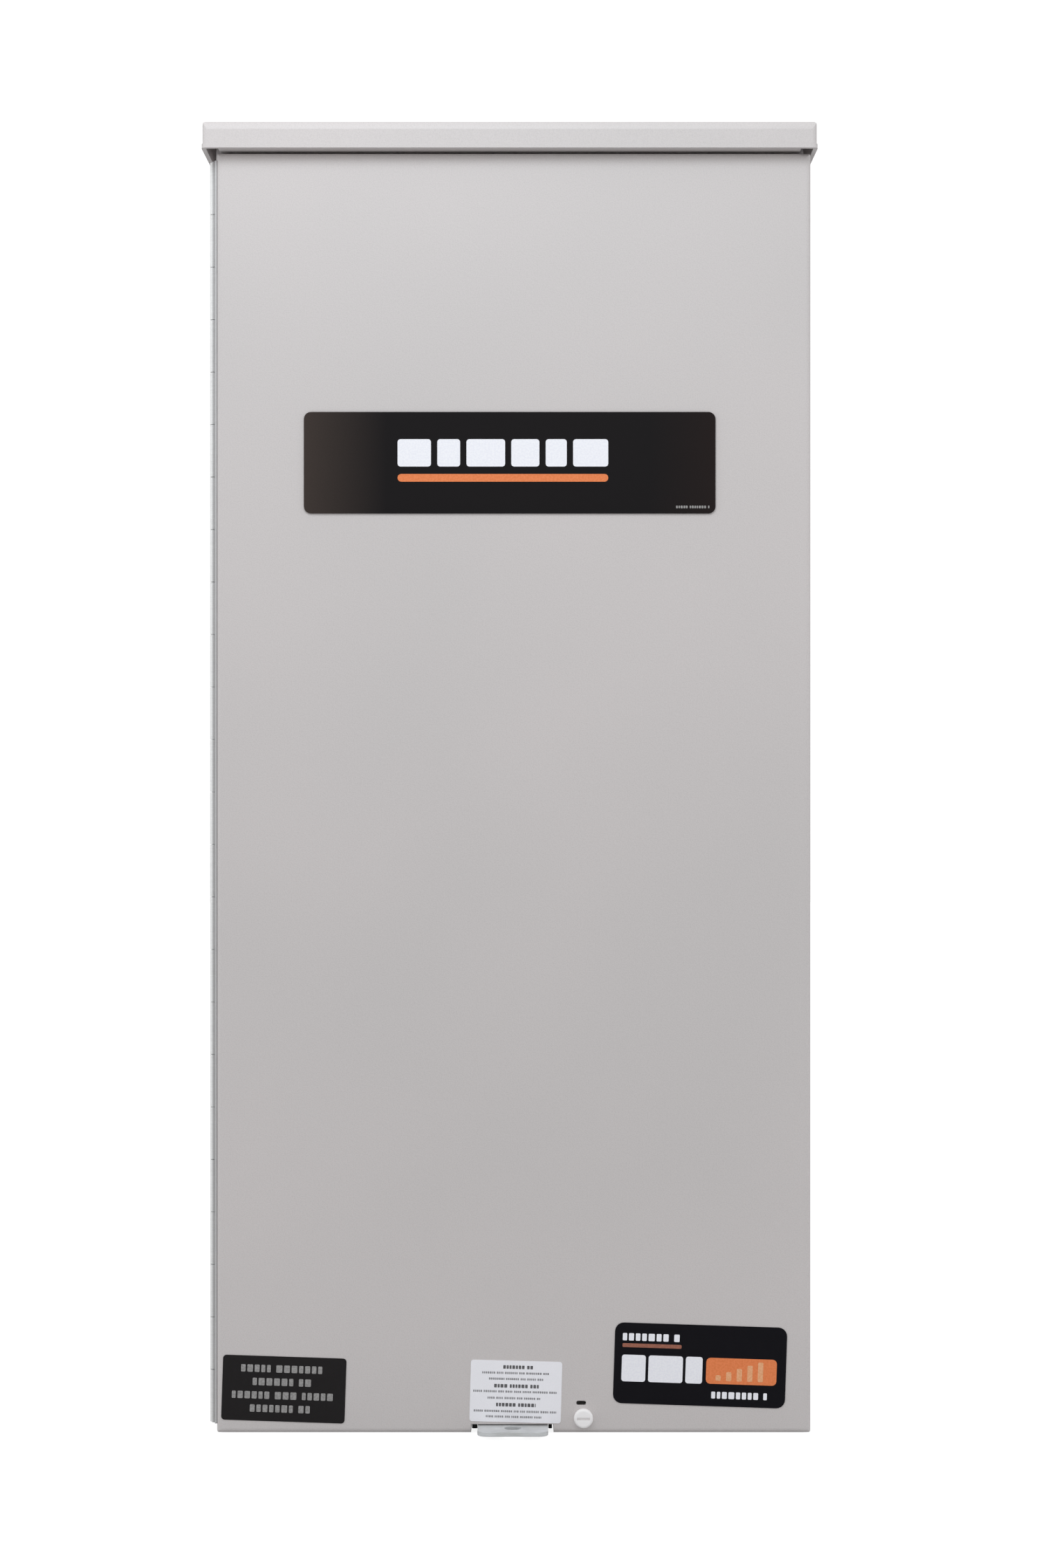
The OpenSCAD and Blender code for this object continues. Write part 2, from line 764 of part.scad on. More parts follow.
module transfer_shaft() {
    long = side_plate_x - 1;
    bar = 9.5;
    cam_w = 6;
    color("#d8d2c0")
    at_switch()
        translate([0, 0, shaft_h])
            rotate([-throw, 0, 0])
                difference() {
                    union() {
                        block([-long, -bar, -bar], [long, bar, bar]);
                        translate([crank_x, 0, 0])
                            rotate([0, 90, 0]) cylinder(r = journal_r, h = -long - crank_x + 1);
                        translate([long - 1, 0, 0])
                            rotate([0, 90, 0]) cylinder(r = journal_r, h = limit_x + cam_w - long + 1);
                        translate([limit_x, 0, 0]) rotate([0, 90, 0]) cylinder(r = 9, h = cam_w);
                        block([limit_x, -13.8, -2.5], [limit_x + cam_w, 13.8, 2.5]);
                        translate([limit_x + cam_w - 1, 0, 0])
                            rotate([0, 90, 0]) cylinder(r = 5, h = 17, $fn = 6);
                        block([crank_x, -6, 0], [crank_x + 5, 6, crank_r + 5]);
                        translate([coil_x - 5, 0, crank_r])
                            rotate([0, 90, 0]) cylinder(r = 3, h = crank_x - coil_x + 6);
                    }
                    for (s = [-1, 1])
                        translate([s * pole_x, 0, 0]) block([-5, -11, -3.2], [5, 11, 11]);
                }
}
// Arms held in the shaft's slots
module contact_arms() {
    hub = 9.3;
    color("#b87333")
    at_switch()
        translate([0, 0, shaft_h])
            rotate([-throw, 0, 0])
                for (s = [-1, 1])
                    translate([s * pole_x, 0, 0]) {
                        block([-4.8, -arm_t / 2, -3], [4.8, arm_t / 2, arm_reach]);
                        block([-4.8, -hub, -3], [4.8, hub, 6]);
                    }
}

// Two coils, one above and one below, that pull one rod with an iron plunger at each end
module coil_frames() {
    half = 17.5;
    color("silver")
    at_switch()
        for (m = [0, 1])
            mirror([0, m, 0])
                difference() {
                    union() {
                        for (y = [coil_y0 - 3, coil_y0 + coil_len])
                            block([coil_x - half, y, 0], [coil_x + half, y + 3, coil_h + half + 1]);
                        block([coil_x - half, coil_y0 - 1, 0], [coil_x + half, coil_y0 + coil_len + 1, 3]);
                        block([coil_x - half, coil_y0 - 1, coil_h - half - 5],
                            [coil_x + half, coil_y0 + coil_len + 1, coil_h - half - 2]);
                    }
                    translate([coil_x, coil_y0 + coil_len + 10, coil_h])
                        rotate([90, 0, 0]) cylinder(r = plunger_r + 0.4, h = coil_len + 20);
                }
}
module coils() {
    color("#c8a02a")
    at_switch()
        for (m = [0, 1])
            mirror([0, m, 0])
                translate([coil_x, coil_y0 + coil_len, coil_h])
                    rotate([90, 0, 0])
                        difference() {
                            union() {
                                cylinder(r = 15.5, h = coil_len);
                                cylinder(r = 17, h = 2);
                                translate([0, 0, coil_len - 2]) cylinder(r = 17, h = 2);
                            }
                            translate([0, 0, -1]) cylinder(r = plunger_r + 0.4, h = coil_len + 2);
                        }
}
module drive_rod() {
    reach = 36;
    color("gray")
    at_switch()
        translate([coil_x, crank_rise, 0])
            difference() {
                union() {
                    block([-3, -reach, coil_h - 3], [3, reach, coil_h + 3]);
                    block([-3, -9, coil_h - 8], [3, 9, coil_h + 8]);
                }
                block([-4, -3.35, coil_h - 5.5], [4, 3.35, coil_h + 5.5]);
            }
}
module plungers() {
    color("dimgray")
    at_switch()
        translate([coil_x, crank_rise, coil_h])
            for (m = [0, 1])
                mirror([0, m, 0]) translate([0, 36, 0]) rotate([-90, 0, 0]) cylinder(r = plunger_r, h = 34);
}

// Small switches whose levers follow the shaft's cam
limit_pivot = [20, 64];
limit_swing = 5;
module limit_switches() {
    x0 = side_plate_x + 3;
    x1 = x0 + 12;
    color("#20242c")
    at_switch()
        for (m = [0, 1])
            mirror([0, m, 0]) {
                block([x0, 22.5, 38], [x1, 34, 68]);
                block([x0, 18.5, 61], [limit_x + 0.2, 23, 67]);
                block([limit_x + 5.8, 18.5, 61], [x1, 23, 67]);
            }
}
module limit_lever(swing)
    translate([limit_x + 0.5, limit_pivot[0], limit_pivot[1]])
        rotate([swing, 0, 0]) {
            block([0, -1, -22], [5, -0.2, 0]);
            rotate([0, 90, 0]) cylinder(r = 1.2, h = 5);
            translate([0, -2.6, -18]) rotate([0, 90, 0]) cylinder(r = 2, h = 5);
        }
module limit_lever_upper() {
    color("silver") at_switch() limit_lever(0);
}
module limit_lever_lower() {
    color("silver") at_switch() mirror([0, 1, 0]) limit_lever(-limit_swing);
}

// ---- Neutral and earth ----

module neutral_bar() {
    color("silver")
    on_plate(0, neutral_z)
        difference() {
            block([neutral_x[0], -neutral_h / 2 - 14, 26], [neutral_x[1], neutral_h / 2, neutral_top]);
            for (x = [neutral_x[0] + 8:13:neutral_x[1] - 4]) {
                translate([x, -20, 30]) cylinder(r = 2.3, h = 10);
                translate([x, -14, 31]) rotate([90, 0, 0]) cylinder(r = 2.5, h = 20);
            }
        }
}
module neutral_standoffs() {
    color("#a3271c")
    on_plate(0, neutral_z)
        for (x = [neutral_x[0] + 10, neutral_x[1] - 10])
            translate([x, -6, 0]) cylinder(r = 9, h = 26, $fn = 6);
}
module ground_bar() {
    color("silver")
    on_plate(0, ground_z)
        difference() {
            block([20, -6, 0], [140, 6, 14]);
            for (x = [28:13:132]) {
                translate([x, 0, 6]) cylinder(r = 2.3, h = 10);
                translate([x, 7, 6]) rotate([90, 0, 0]) cylinder(r = 2.5, h = 14);
            }
        }
}
module bar_screws() {
    color("#3f7d4a") {
        on_plate(0, neutral_z)
            for (x = [neutral_x[0] + 8:13:neutral_x[1] - 4])
                translate([x, -20, neutral_top + 0.1]) pan_screw(3.2, 2.2, 2.2, 2);
        on_plate(0, ground_z)
            for (x = [28:13:132]) translate([x, 0, 14.1]) pan_screw(3.2, 2.2, 2.2, 2);
    }
}
module bonding_strap() {
    color("#b87333")
    on_plate(neutral_x[0] - 4.2, neutral_z - 10)
        rotate([90, 0, 0])
            translate([0, 0, -7])
                linear_extrude(14)
                    folded_sheet([[-8, 0.6], [0.6, 0.6], [0.6, neutral_top + 0.6], [10, neutral_top + 0.6]],
                        1.2, 0.6, 2);
}

// ---- Control gear ----

module board_corners()
    for (x = [board_x[0] + 6, board_x[1] - 6], z = [board_z[0] + 6, board_z[1] - 6])
        on_plate(x, z) children();
module control_board() {
    color("darkgreen")
    difference() {
        on_plate(0, 0)
            translate([0, 0, board_h])
                linear_extrude(board_t) rounded([board_x[0], board_z[0]], [board_x[1], board_z[1]], 3);
        board_corners() translate([0, 0, board_h - 1]) cylinder(r = 1.8, h = board_t + 2);
    }
}
module board_standoffs() {
    color("gold")
    board_corners() {
        cylinder(r = 3, h = board_h, $fn = 6);
        translate([0, 0, board_h - 1]) cylinder(r = 1.5, h = board_t + 2);
        translate([0, 0, board_h + board_t]) cylinder(r = 2.8, h = 1.8);
    }
}
module board_components() {
    top = board_h + board_t;
    color("#26282c")
    on_plate(0, 0) {
        block([58, 78, top], [92, 108, top + 26]);
        for (i = [0:3]) block([104, 18 + i * 23, top], [124, 36 + i * 23, top + 16]);
        for (i = [0:2]) translate([66 + i * 15, 62, top]) cylinder(r = 5.5, h = 18);
        block([60, 14, top], [84, 38, top + 2.2]);
        block([58, -30, top], [74, -18, top + 2]);
        block([82, -32, top], [96, -20, top + 3]);
        for (i = [0:2]) block([56 + i * 30, -54, top], [82 + i * 30, -44, top + 11]);
        block([134, 10, top], [144, 70, top + 12]);
    }
}
strip_z = -88;
module terminal_strip() {
    color("#1d1f22")
    on_plate(0, strip_z)
        difference() {
            block([board_x[0], -11, 0], [board_x[1], 11, 16]);
            for (i = [0:7])
                block([board_x[0] + 2.6 + i * 12.4, -12, 10], [board_x[0] + 12.6 + i * 12.4, 12, 17]);
        }
    color("silver")
    on_plate(0, strip_z)
        for (i = [0:7]) translate([board_x[0] + 7.6 + i * 12.4, 0, 10]) cylinder(r = 3.2, h = 3);
}
module fuse_block() {
    color("#1d1f22")
    on_plate(78, -134) {
        difference() {
            block([-30, -22, 0], [30, 22, 20]);
            for (i = [-1:1]) block([i * 18 - 6.5, -20, 8.8], [i * 18 + 6.5, 20, 21]);
        }
        for (i = [-1:1])
            translate([i * 18, -19, 14]) rotate([-90, 0, 0]) cylinder(r = 5, h = 38);
    }
}
module relay() {
    color("#3c3c40")
    on_plate(134, -134) {
        difference() {
            block([-14, -22, 0], [14, 22, 18]);
            for (y = [-22, 16]) block([-11, y - 1, 10], [11, y + 7, 19]);
        }
        block([-11, -14, 18], [11, 14, 46]);
    }
}
monitor_at = [100, -198];
monitor_size = [96, 60, 26];
module monitor_module() {
    w = monitor_size[0] / 2;
    h = monitor_size[1] / 2;
    d = monitor_size[2];
    color("whitesmoke")
    on_plate(monitor_at[0], monitor_at[1])
        difference() {
            union() {
                linear_extrude(d) rounded([-w, -h], [w, h], 4);
                for (x = [-w + 12, w - 12]) block([x - 7, -h - 9, 0], [x + 7, h + 9, 3]);
            }
            translate([w - 14, 8, d - 6]) cylinder(r = 3.3, h = 8);
            block([-w + 8, -6, d - 1], [w - 34, 18, d + 1]);
            for (i = [0:5])
                block([-w + 8 + i * 10, -h - 1, 8], [-w + 15 + i * 10, -h + 7, 18]);
        }
}
module monitor_button() {
    w = monitor_size[0] / 2;
    color("dodgerblue")
    on_plate(monitor_at[0] + w - 14, monitor_at[1] + 8)
        translate([0, 0, monitor_size[2] - 4.2]) cylinder(r = 3, h = 5.7);
}

handle_z = -276;
handle_h = 20;
module manual_handle() {
    color("orangered")
    on_plate(0, handle_z)
        translate([36, 0, handle_h])
            rotate([0, 90, 0])
                difference() {
                    union() {
                        cylinder(r = 5, h = 108);
                        cylinder(r = 9, h = 20);
                        translate([0, 0, 66]) cylinder(r = 8, h = 46);
                    }
                    translate([0, 0, -1]) cylinder(r = 5.3, h = 15, $fn = 6);
                }
}

module handle_clips() {
    gap = 5.3;
    color("silver")
    on_plate(0, handle_z)
        for (x = [62, 88])
            difference() {
                block([x, -7, 0], [x + 8, 7, handle_h + 6]);
                block([x - 1, -gap, handle_h - gap], [x + 9, gap, handle_h + 7]);
            }
}

// ---- Wires: local X right, Y up, Z out from the backplate ----

wire_r = 1.3;
wire_sides = 8;
// From each current transformer and each coil: to the monitor and to the board
long_wires = [
    [[-2.5, 51, 50], [20, 51, 50], [30, 42, 5], [30, -150, 5], [36, -182, 12], [51.5, -182, 12]],
    [[-62.5, 51, 50], [-52, 51, 50], [-52, 36, 30], [18, 36, 30], [34, 30, 5], [34, -160, 5],
        [40, -192, 12], [51.5, -192, 12]],
    [[-119, 4, 72], [-113.5, 5, 70], [-110, 28, 30], [-100, 28, 9], [24, 28, 9], [38, 20, 12.8],
        [47.5, 20, 12.8]],
    [[-119, -124, 74], [-116.8, -124, 66], [-116.8, -124, 9], [-116.8, 17.5, 9], [-111, 22.5, 9],
        [24, 22, 9], [38, 12, 12.8], [47.5, 12, 12.8]]
];
// Short loops: from the board to the terminal strip, and from there to the fuses and the relay
short_wires = concat(
    [for (i = [0:5]) let (x = 56 + i * 15)
        [[x, -62.4, 12.8], [x, -66, 12.8], [x, -69.6, 18], [x, -73.2, 12.8], [x, -76.7, 12.8]]],
    [for (x = [60, 78, 96, 134])
        [[x, -111.7, 8], [x, -108.8, 8], [x, -105.5, 13], [x, -102.2, 8], [x, -99.3, 8]]]
);
function corner(a, b, c, cut, n) =
    let (p = b + unit(a - b) * cut, q = b + unit(c - b) * cut)
    [for (k = [0:n]) let (t = k / n) p * (1 - t) * (1 - t) + b * 2 * t * (1 - t) + q * t * t];
function wire_path(p, cut, n) = concat(
    [p[0]],
    [for (i = [1:len(p) - 2]) each corner(p[i - 1], p[i], p[i + 1], cut, n)],
    [p[len(p) - 1]]
);
function headings(p) = [
    for (i = [0:len(p) - 1]) unit(p[min(i + 1, len(p) - 1)] - p[max(i - 1, 0)])
];
// A side direction carried along the path without twisting
function carried(dirs, side, i = 0) =
    i == len(dirs) ? [] :
    let (m = unit(side - dirs[i] * (side * dirs[i]))) concat([m], carried(dirs, m, i + 1));
module wire(points, cut, n) {
    path = wire_path(points, cut, n);
    dirs = headings(path);
    start = abs(dirs[0] * [0, 0, 1]) > 0.9 ? [1, 0, 0] : [0, 0, 1];
    sides = carried(dirs, start);
    k = wire_sides;
    rings = [for (i = [0:len(path) - 1], j = [0:k - 1])
        path[i] + wire_r * (sides[i] * cos(360 * j / k) + cross(dirs[i], sides[i]) * sin(360 * j / k))];
    last = len(path) - 1;
    polyhedron(rings, concat(
        [[for (j = [0:k - 1]) j]],
        [for (i = [0:last - 1], j = [0:k - 1]) let (m = (j + 1) % k)
            each [[i * k + j, i * k + k + m, i * k + m], [i * k + j, i * k + k + j, i * k + k + m]]],
        [[for (j = [k - 1:-1:0]) last * k + j]]
    ));
}
module wire_harness() {
    color("firebrick")
    on_plate(0, 0) {
        for (w = long_wires) wire(w, 2.5, 3);
        for (w = short_wires) wire(w, 1.4, 2);
    }
}

cabinet_shell();
bottom_panel();
top_hood();
top_header();
hasp_plate();
knockout_blanks();
backplate();
backplate_studs();
hinge_leaf_cabinet();
hinge_pin();
hinge_rivets();
door_panel();
hinge_leaf_door();
door_stiffeners();
door_seal();
main_label();
corner_label_left();
corner_label_right();
notice_label();
inner_label();
door_screw();
clip_nut();
breaker_case();
breaker_toggle();
breaker_test_button();
dead_front();
dead_front_screws();
cable_lugs();
lug_set_screws();
bus_links();
current_transformers();
switch_base();
fixed_contacts();
load_straps();
mechanism_plates();
transfer_shaft();
contact_arms();
coil_frames();
coils();
drive_rod();
plungers();
limit_switches();
limit_lever_upper();
limit_lever_lower();
neutral_bar();
neutral_standoffs();
ground_bar();
bar_screws();
bonding_strap();
control_board();
board_standoffs();
board_components();
terminal_strip();
fuse_block();
relay();
monitor_module();
monitor_button();
wire_harness();
manual_handle();
handle_clips();
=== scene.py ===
import math
import random

import bmesh
import bpy
from mathutils import Matrix, Vector


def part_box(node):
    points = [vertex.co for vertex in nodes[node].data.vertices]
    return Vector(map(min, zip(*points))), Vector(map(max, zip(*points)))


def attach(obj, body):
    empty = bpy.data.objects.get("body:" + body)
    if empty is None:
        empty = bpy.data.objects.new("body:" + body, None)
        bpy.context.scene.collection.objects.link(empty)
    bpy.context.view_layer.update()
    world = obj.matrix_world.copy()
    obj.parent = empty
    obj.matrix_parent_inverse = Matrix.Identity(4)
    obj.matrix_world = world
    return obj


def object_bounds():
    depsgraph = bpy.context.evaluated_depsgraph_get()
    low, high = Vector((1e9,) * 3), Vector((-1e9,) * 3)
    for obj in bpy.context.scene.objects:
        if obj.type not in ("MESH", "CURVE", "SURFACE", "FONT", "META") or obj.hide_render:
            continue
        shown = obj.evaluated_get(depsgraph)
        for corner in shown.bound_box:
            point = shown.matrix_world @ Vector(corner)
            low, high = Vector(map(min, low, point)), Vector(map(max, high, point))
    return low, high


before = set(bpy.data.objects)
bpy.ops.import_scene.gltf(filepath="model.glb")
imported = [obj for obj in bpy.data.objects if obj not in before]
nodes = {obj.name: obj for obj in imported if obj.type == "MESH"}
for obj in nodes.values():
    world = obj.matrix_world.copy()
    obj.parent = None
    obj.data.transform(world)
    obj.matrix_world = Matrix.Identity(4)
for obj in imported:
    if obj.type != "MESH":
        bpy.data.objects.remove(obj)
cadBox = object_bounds()  # the part's own box; its bottom sets the floor's height
scene = bpy.context.scene

studio = {
    "eyeRight": 0.0073,    # camera place, metres
    "eyeUp": -0.0034,
    "eyeAway": 1.77,
    "lens": 64.5,
    "backdrop": 1.1,       # white seen behind the cabinet
    "sky": 0.71,           # light that the white room sends onto it
    "floorWhite": 0.88,    # the floor's own white as seen, so that only a trace of shadow shows
    "floorTone": 0.62,
    "floorSide": 14.0,
    "keyPower": 3.5,       # soft box above the front
    "keyPlace": (-0.12, -0.72, 0.80),
    "keyAim": (0.0, -0.17, 0.05),
    "keySize": (0.75, 0.30),
    "lightTint": (0.90, 0.96, 1.0),
    "stripPower": 1.1,     # upright strips that pick out the side bends
    "stripPlace": (0.95, -0.42, 0.05),
    "stripSize": (0.12, 1.1),
}


def areaLight(name, place, aim, size, power):
    data = bpy.data.lights.new(name, "AREA")
    data.shape = "RECTANGLE"
    data.size, data.size_y = size
    data.energy = power
    lamp = bpy.data.objects.new(name, data)
    lamp.location = place
    lamp.rotation_euler = (Vector(aim) - Vector(place)).to_track_quat("-Z", "Y").to_euler()
    data.color = studio["lightTint"]
    lamp.visible_camera = False
    scene.collection.objects.link(lamp)
    return lamp


def setUpStudio():
    eye = bpy.data.cameras.new("eye")
    eye.lens = studio["lens"]
    eye.clip_start, eye.clip_end = 0.05, 60
    camera = bpy.data.objects.new("eye", eye)
    camera.location = (studio["eyeRight"], -studio["eyeAway"], studio["eyeUp"])
    camera.rotation_euler = (math.pi / 2, 0, 0)
    scene.collection.objects.link(camera)
    scene.camera = camera

    room = bpy.data.worlds.new("whiteRoom")
    room.use_nodes = True
    tree = room.node_tree
    rays = tree.nodes.new("ShaderNodeLightPath")
    level = tree.nodes.new("ShaderNodeMapRange")
    level.inputs["To Min"].default_value = studio["sky"]
    level.inputs["To Max"].default_value = studio["backdrop"]
    tree.links.new(rays.outputs["Is Camera Ray"], level.inputs["Value"])
    tree.links.new(level.outputs["Result"], tree.nodes["Background"].inputs["Strength"])
    tree.nodes["Background"].inputs["Color"].default_value = (1.0, 1.0, 1.0, 1.0)
    scene.world = room
    scene.view_settings.view_transform = "Standard"
    scene.view_settings.look = "None"

    areaLight("softBox", studio["keyPlace"], studio["keyAim"], studio["keySize"], studio["keyPower"])
    right, ahead, up = studio["stripPlace"]
    for side, name in ((-1, "stripLeft"), (1, "stripRight")):
        areaLight(name, (side * right, ahead, up), (0, -0.1, up), studio["stripSize"], studio["stripPower"])

    bpy.ops.mesh.primitive_plane_add(size=studio["floorSide"], location=(0, 0, cadBox[0].z - 0.0006))
    floor = bpy.context.object
    floor.name = "floor"
    paint = bpy.data.materials.new("floorWhite")
    paint.use_nodes = True
    tree = paint.node_tree
    shader = tree.nodes["Principled BSDF"]
    shader.inputs["Base Color"].default_value = (studio["floorTone"],) * 3 + (1.0,)
    shader.inputs["Roughness"].default_value = 0.9
    shader.inputs["Specular IOR Level"].default_value = 0.1
    shader.inputs["Emission Color"].default_value = (1.0, 1.0, 1.0, 1.0)
    rays = tree.nodes.new("ShaderNodeLightPath")
    glow = tree.nodes.new("ShaderNodeMath")
    glow.operation = "MULTIPLY"
    glow.inputs[1].default_value = studio["floorWhite"]
    tree.links.new(rays.outputs["Is Camera Ray"], glow.inputs[0])
    tree.links.new(glow.outputs["Value"], shader.inputs["Emission Strength"])
    floor.data.materials.append(paint)
    print("studio ready")


setUpStudio()


def tone(code):
    # "b8b4b2" as it looks on a screen, to the linear colour a shader wants
    parts = [int(code[i:i + 2], 16) / 255 for i in (0, 2, 4)]
    return tuple(p / 12.92 if p < 0.04045 else ((p + 0.055) / 1.055) ** 2.4 for p in parts) + (1.0,)


def startFinish(name, roughness=0.5, metallic=0.0, **more):
    material = bpy.data.materials.new(name)
    material.use_nodes = True
    tree = material.node_tree
    shader = tree.nodes["Principled BSDF"]
    shader.inputs["Roughness"].default_value = roughness
    shader.inputs["Metallic"].default_value = metallic
    for socket, value in more.items():
        shader.inputs[socket.replace("_", " ")].default_value = value
    coords = tree.nodes.new("ShaderNodeTexCoord").outputs["Object"]
    return material, tree, shader, coords


def noise(tree, coords, scale, detail=3.0, stretch=None):
    if stretch:
        mapping = tree.nodes.new("ShaderNodeMapping")
        mapping.inputs["Scale"].default_value = stretch
        tree.links.new(coords, mapping.inputs["Vector"])
        coords = mapping.outputs["Vector"]
    node = tree.nodes.new("ShaderNodeTexNoise")
    node.inputs["Scale"].default_value = scale
    node.inputs["Detail"].default_value = detail
    tree.links.new(coords, node.inputs["Vector"])
    return node.outputs["Fac"]


def ramp(tree, fac, *stops):
    node = tree.nodes.new("ShaderNodeValToRGB")
    band = node.color_ramp
    while len(band.elements) < len(stops):
        band.elements.new(0.5)
    for element, (place, colour) in zip(band.elements, stops):
        element.position = place
        element.color = colour if isinstance(colour, tuple) else (colour, colour, colour, 1.0)
    tree.links.new(fac, node.inputs["Fac"])
    return node.outputs["Color"]


def blendColours(tree, fac, first, second, how="MIX"):
    node = tree.nodes.new("ShaderNodeMix")
    node.data_type = "RGBA"
    node.blend_type = how
    for socket, value in ((node.inputs[0], fac), (node.inputs[6], first), (node.inputs[7], second)):
        if isinstance(value, (float, tuple)):
            socket.default_value = value
        else:
            tree.links.new(value, socket)
    return node.outputs[2]


def spread(tree, fac, low, high):
    # stretches a 0 to 1 value to low to high
    node = tree.nodes.new("ShaderNodeMapRange")
    node.inputs["To Min"].default_value = low
    node.inputs["To Max"].default_value = high
    tree.links.new(fac, node.inputs["Value"])
    return node.outputs["Result"]


def relief(tree, shader, heights, edge=0.0):
    # heights are (value, distance, strength); edge is the radius that sharp edges are eased by
    normal = None
    if edge:
        eased = tree.nodes.new("ShaderNodeBevel")
        eased.samples = 4
        eased.inputs["Radius"].default_value = edge
        normal = eased.outputs["Normal"]
    for value, distance, strength in heights:
        bump = tree.nodes.new("ShaderNodeBump")
        bump.inputs["Distance"].default_value = distance
        bump.inputs["Strength"].default_value = strength
        tree.links.new(value, bump.inputs["Height"])
        if normal:
            tree.links.new(normal, bump.inputs["Normal"])
        normal = bump.outputs["Normal"]
    tree.links.new(normal, shader.inputs["Normal"])


def powderCoat(name, colour, shade, settings):
    material, tree, shader, coords = startFinish(name, settings["roughness"], Specular_IOR_Level=0.5)
    broad = noise(tree, coords, settings["broadScale"], 2.0)
    grain = noise(tree, coords, settings["grainScale"], 2.0)
    peel = noise(tree, coords, settings["peelScale"], 3.0)
    body = blendColours(tree, ramp(tree, broad, (0.35, 0.0), (0.65, 1.0)), tone(shade), tone(colour))
    speck = ramp(tree, grain, (0.30, 0.93), (0.52, 1.0), (0.75, 1.03))
    colourOut = blendColours(tree, 1.0, body, speck, "MULTIPLY")
    tree.links.new(colourOut, shader.inputs["Base Color"])
    tree.links.new(spread(tree, peel, settings["roughness"] - 0.06, settings["roughness"] + 0.08),
                   shader.inputs["Roughness"])
    relief(tree, shader, ((peel, settings["peelDepth"], 0.5), (grain, 0.00002, 0.25)), settings["edge"])
    return material


def rolledMetal(name, colour, shade, settings):
    # plated or mill finish metal: a fine one-way grain under cloudy patches
    material, tree, shader, coords = startFinish(name, settings["roughness"], settings.get("metallic", 1.0))
    cloud = noise(tree, coords, settings["cloudScale"], 4.0)
    lines = noise(tree, coords, settings["lineScale"], 2.0, settings["lineStretch"])
    body = blendColours(tree, ramp(tree, cloud, (0.32, 0.0), (0.68, 1.0)), tone(shade), tone(colour))
    streak = ramp(tree, lines, (0.3, 0.9), (0.7, 1.05))
    tree.links.new(blendColours(tree, 1.0, body, streak, "MULTIPLY"), shader.inputs["Base Color"])
    rough = blendColours(tree, 0.5, ramp(tree, cloud, (0.3, settings["roughness"] - 0.08),
                                         (0.7, settings["roughness"] + 0.1)),
                         ramp(tree, lines, (0.3, settings["roughness"] - 0.05),
                              (0.7, settings["roughness"] + 0.05)))
    tree.links.new(rough, shader.inputs["Roughness"])
    relief(tree, shader, ((lines, settings["lineDepth"], 0.35),), settings["edge"])
    return material


def mouldedPlastic(name, colour, shade, settings):
    material, tree, shader, coords = startFinish(name, settings["roughness"], Specular_IOR_Level=0.45)
    flow = noise(tree, coords, 18.0, 3.0)
    pits = noise(tree, coords, settings["pitScale"], 2.0)
    body = blendColours(tree, ramp(tree, flow, (0.3, 0.0), (0.7, 1.0)), tone(shade), tone(colour))
    tree.links.new(body, shader.inputs["Base Color"])
    tree.links.new(spread(tree, flow, settings["roughness"] - 0.07, settings["roughness"] + 0.07),
                   shader.inputs["Roughness"])
    relief(tree, shader, ((pits, settings["pitDepth"], 0.5),), settings["edge"])
    return material


paintLook = {"roughness": 0.42, "broadScale": 5.0, "grainScale": 1500.0, "peelScale": 620.0,
             "peelDepth": 0.00012, "edge": 0.0006}
platedLook = {"roughness": 0.34, "cloudScale": 55.0, "lineScale": 160.0,
              "lineStretch": (1.0, 1.0, 14.0), "lineDepth": 0.00002, "edge": 0.0004}
castLook = {"roughness": 0.38, "cloudScale": 90.0, "lineScale": 420.0,
            "lineStretch": (1.0, 1.0, 1.0), "lineDepth": 0.00005, "edge": 0.0006}
plasticLook = {"roughness": 0.48, "pitScale": 1900.0, "pitDepth": 0.00005, "edge": 0.0005}


vinylLook = {"grainScale": 1200.0, "grainDepth": 0.00001, "waveScale": 30.0,
             "waveDepth": 0.0003, "uneven": 0.06}


def vinylSurface(tree, shader, coords, roughness):
    # the fine grain and the slow wave of every label; gives back the grain
    grain = noise(tree, coords, vinylLook["grainScale"], 2.0)
    wave = noise(tree, coords, vinylLook["waveScale"], 2.0)
    tree.links.new(spread(tree, wave, roughness - vinylLook["uneven"],
                          roughness + vinylLook["uneven"]), shader.inputs["Roughness"])
    relief(tree, shader, ((wave, vinylLook["waveDepth"], 0.25), (grain, vinylLook["grainDepth"], 0.3)))
    return grain


def labelVinyl(name, colour, shade, roughness, gloss=0.5):
    material, tree, shader, coords = startFinish(name, roughness, Specular_IOR_Level=gloss)
    grain = vinylSurface(tree, shader, coords, roughness)
    tree.links.new(blendColours(tree, grain, tone(shade), tone(colour)), shader.inputs["Base Color"])
    return material


def alongRight(tree, coords, low, high):
    # rises from 0 at low to 1 at high, measured to the right
    place = tree.nodes.new("ShaderNodeSeparateXYZ")
    tree.links.new(coords, place.inputs["Vector"])
    along = tree.nodes.new("ShaderNodeMapRange")
    along.inputs["From Min"].default_value, along.inputs["From Max"].default_value = low, high
    tree.links.new(place.outputs["X"], along.inputs["Value"])
    return along.outputs["Result"]


# the colour stops across the hinge are painted light: a painted highlight on the barrel, then painted shade
# by the door
hingeLook = {"stops": ((0.0, "f5f4f3"), (0.30, "efeeed"), (0.40, "c6c5c5"), (1.0, "c9c8c8")),
             "lineScale": 160.0, "lineStretch": (1.0, 1.0, 14.0), "lineDepth": 0.00002,
             "roughness": (0.32, 0.46), "edge": 0.0004}


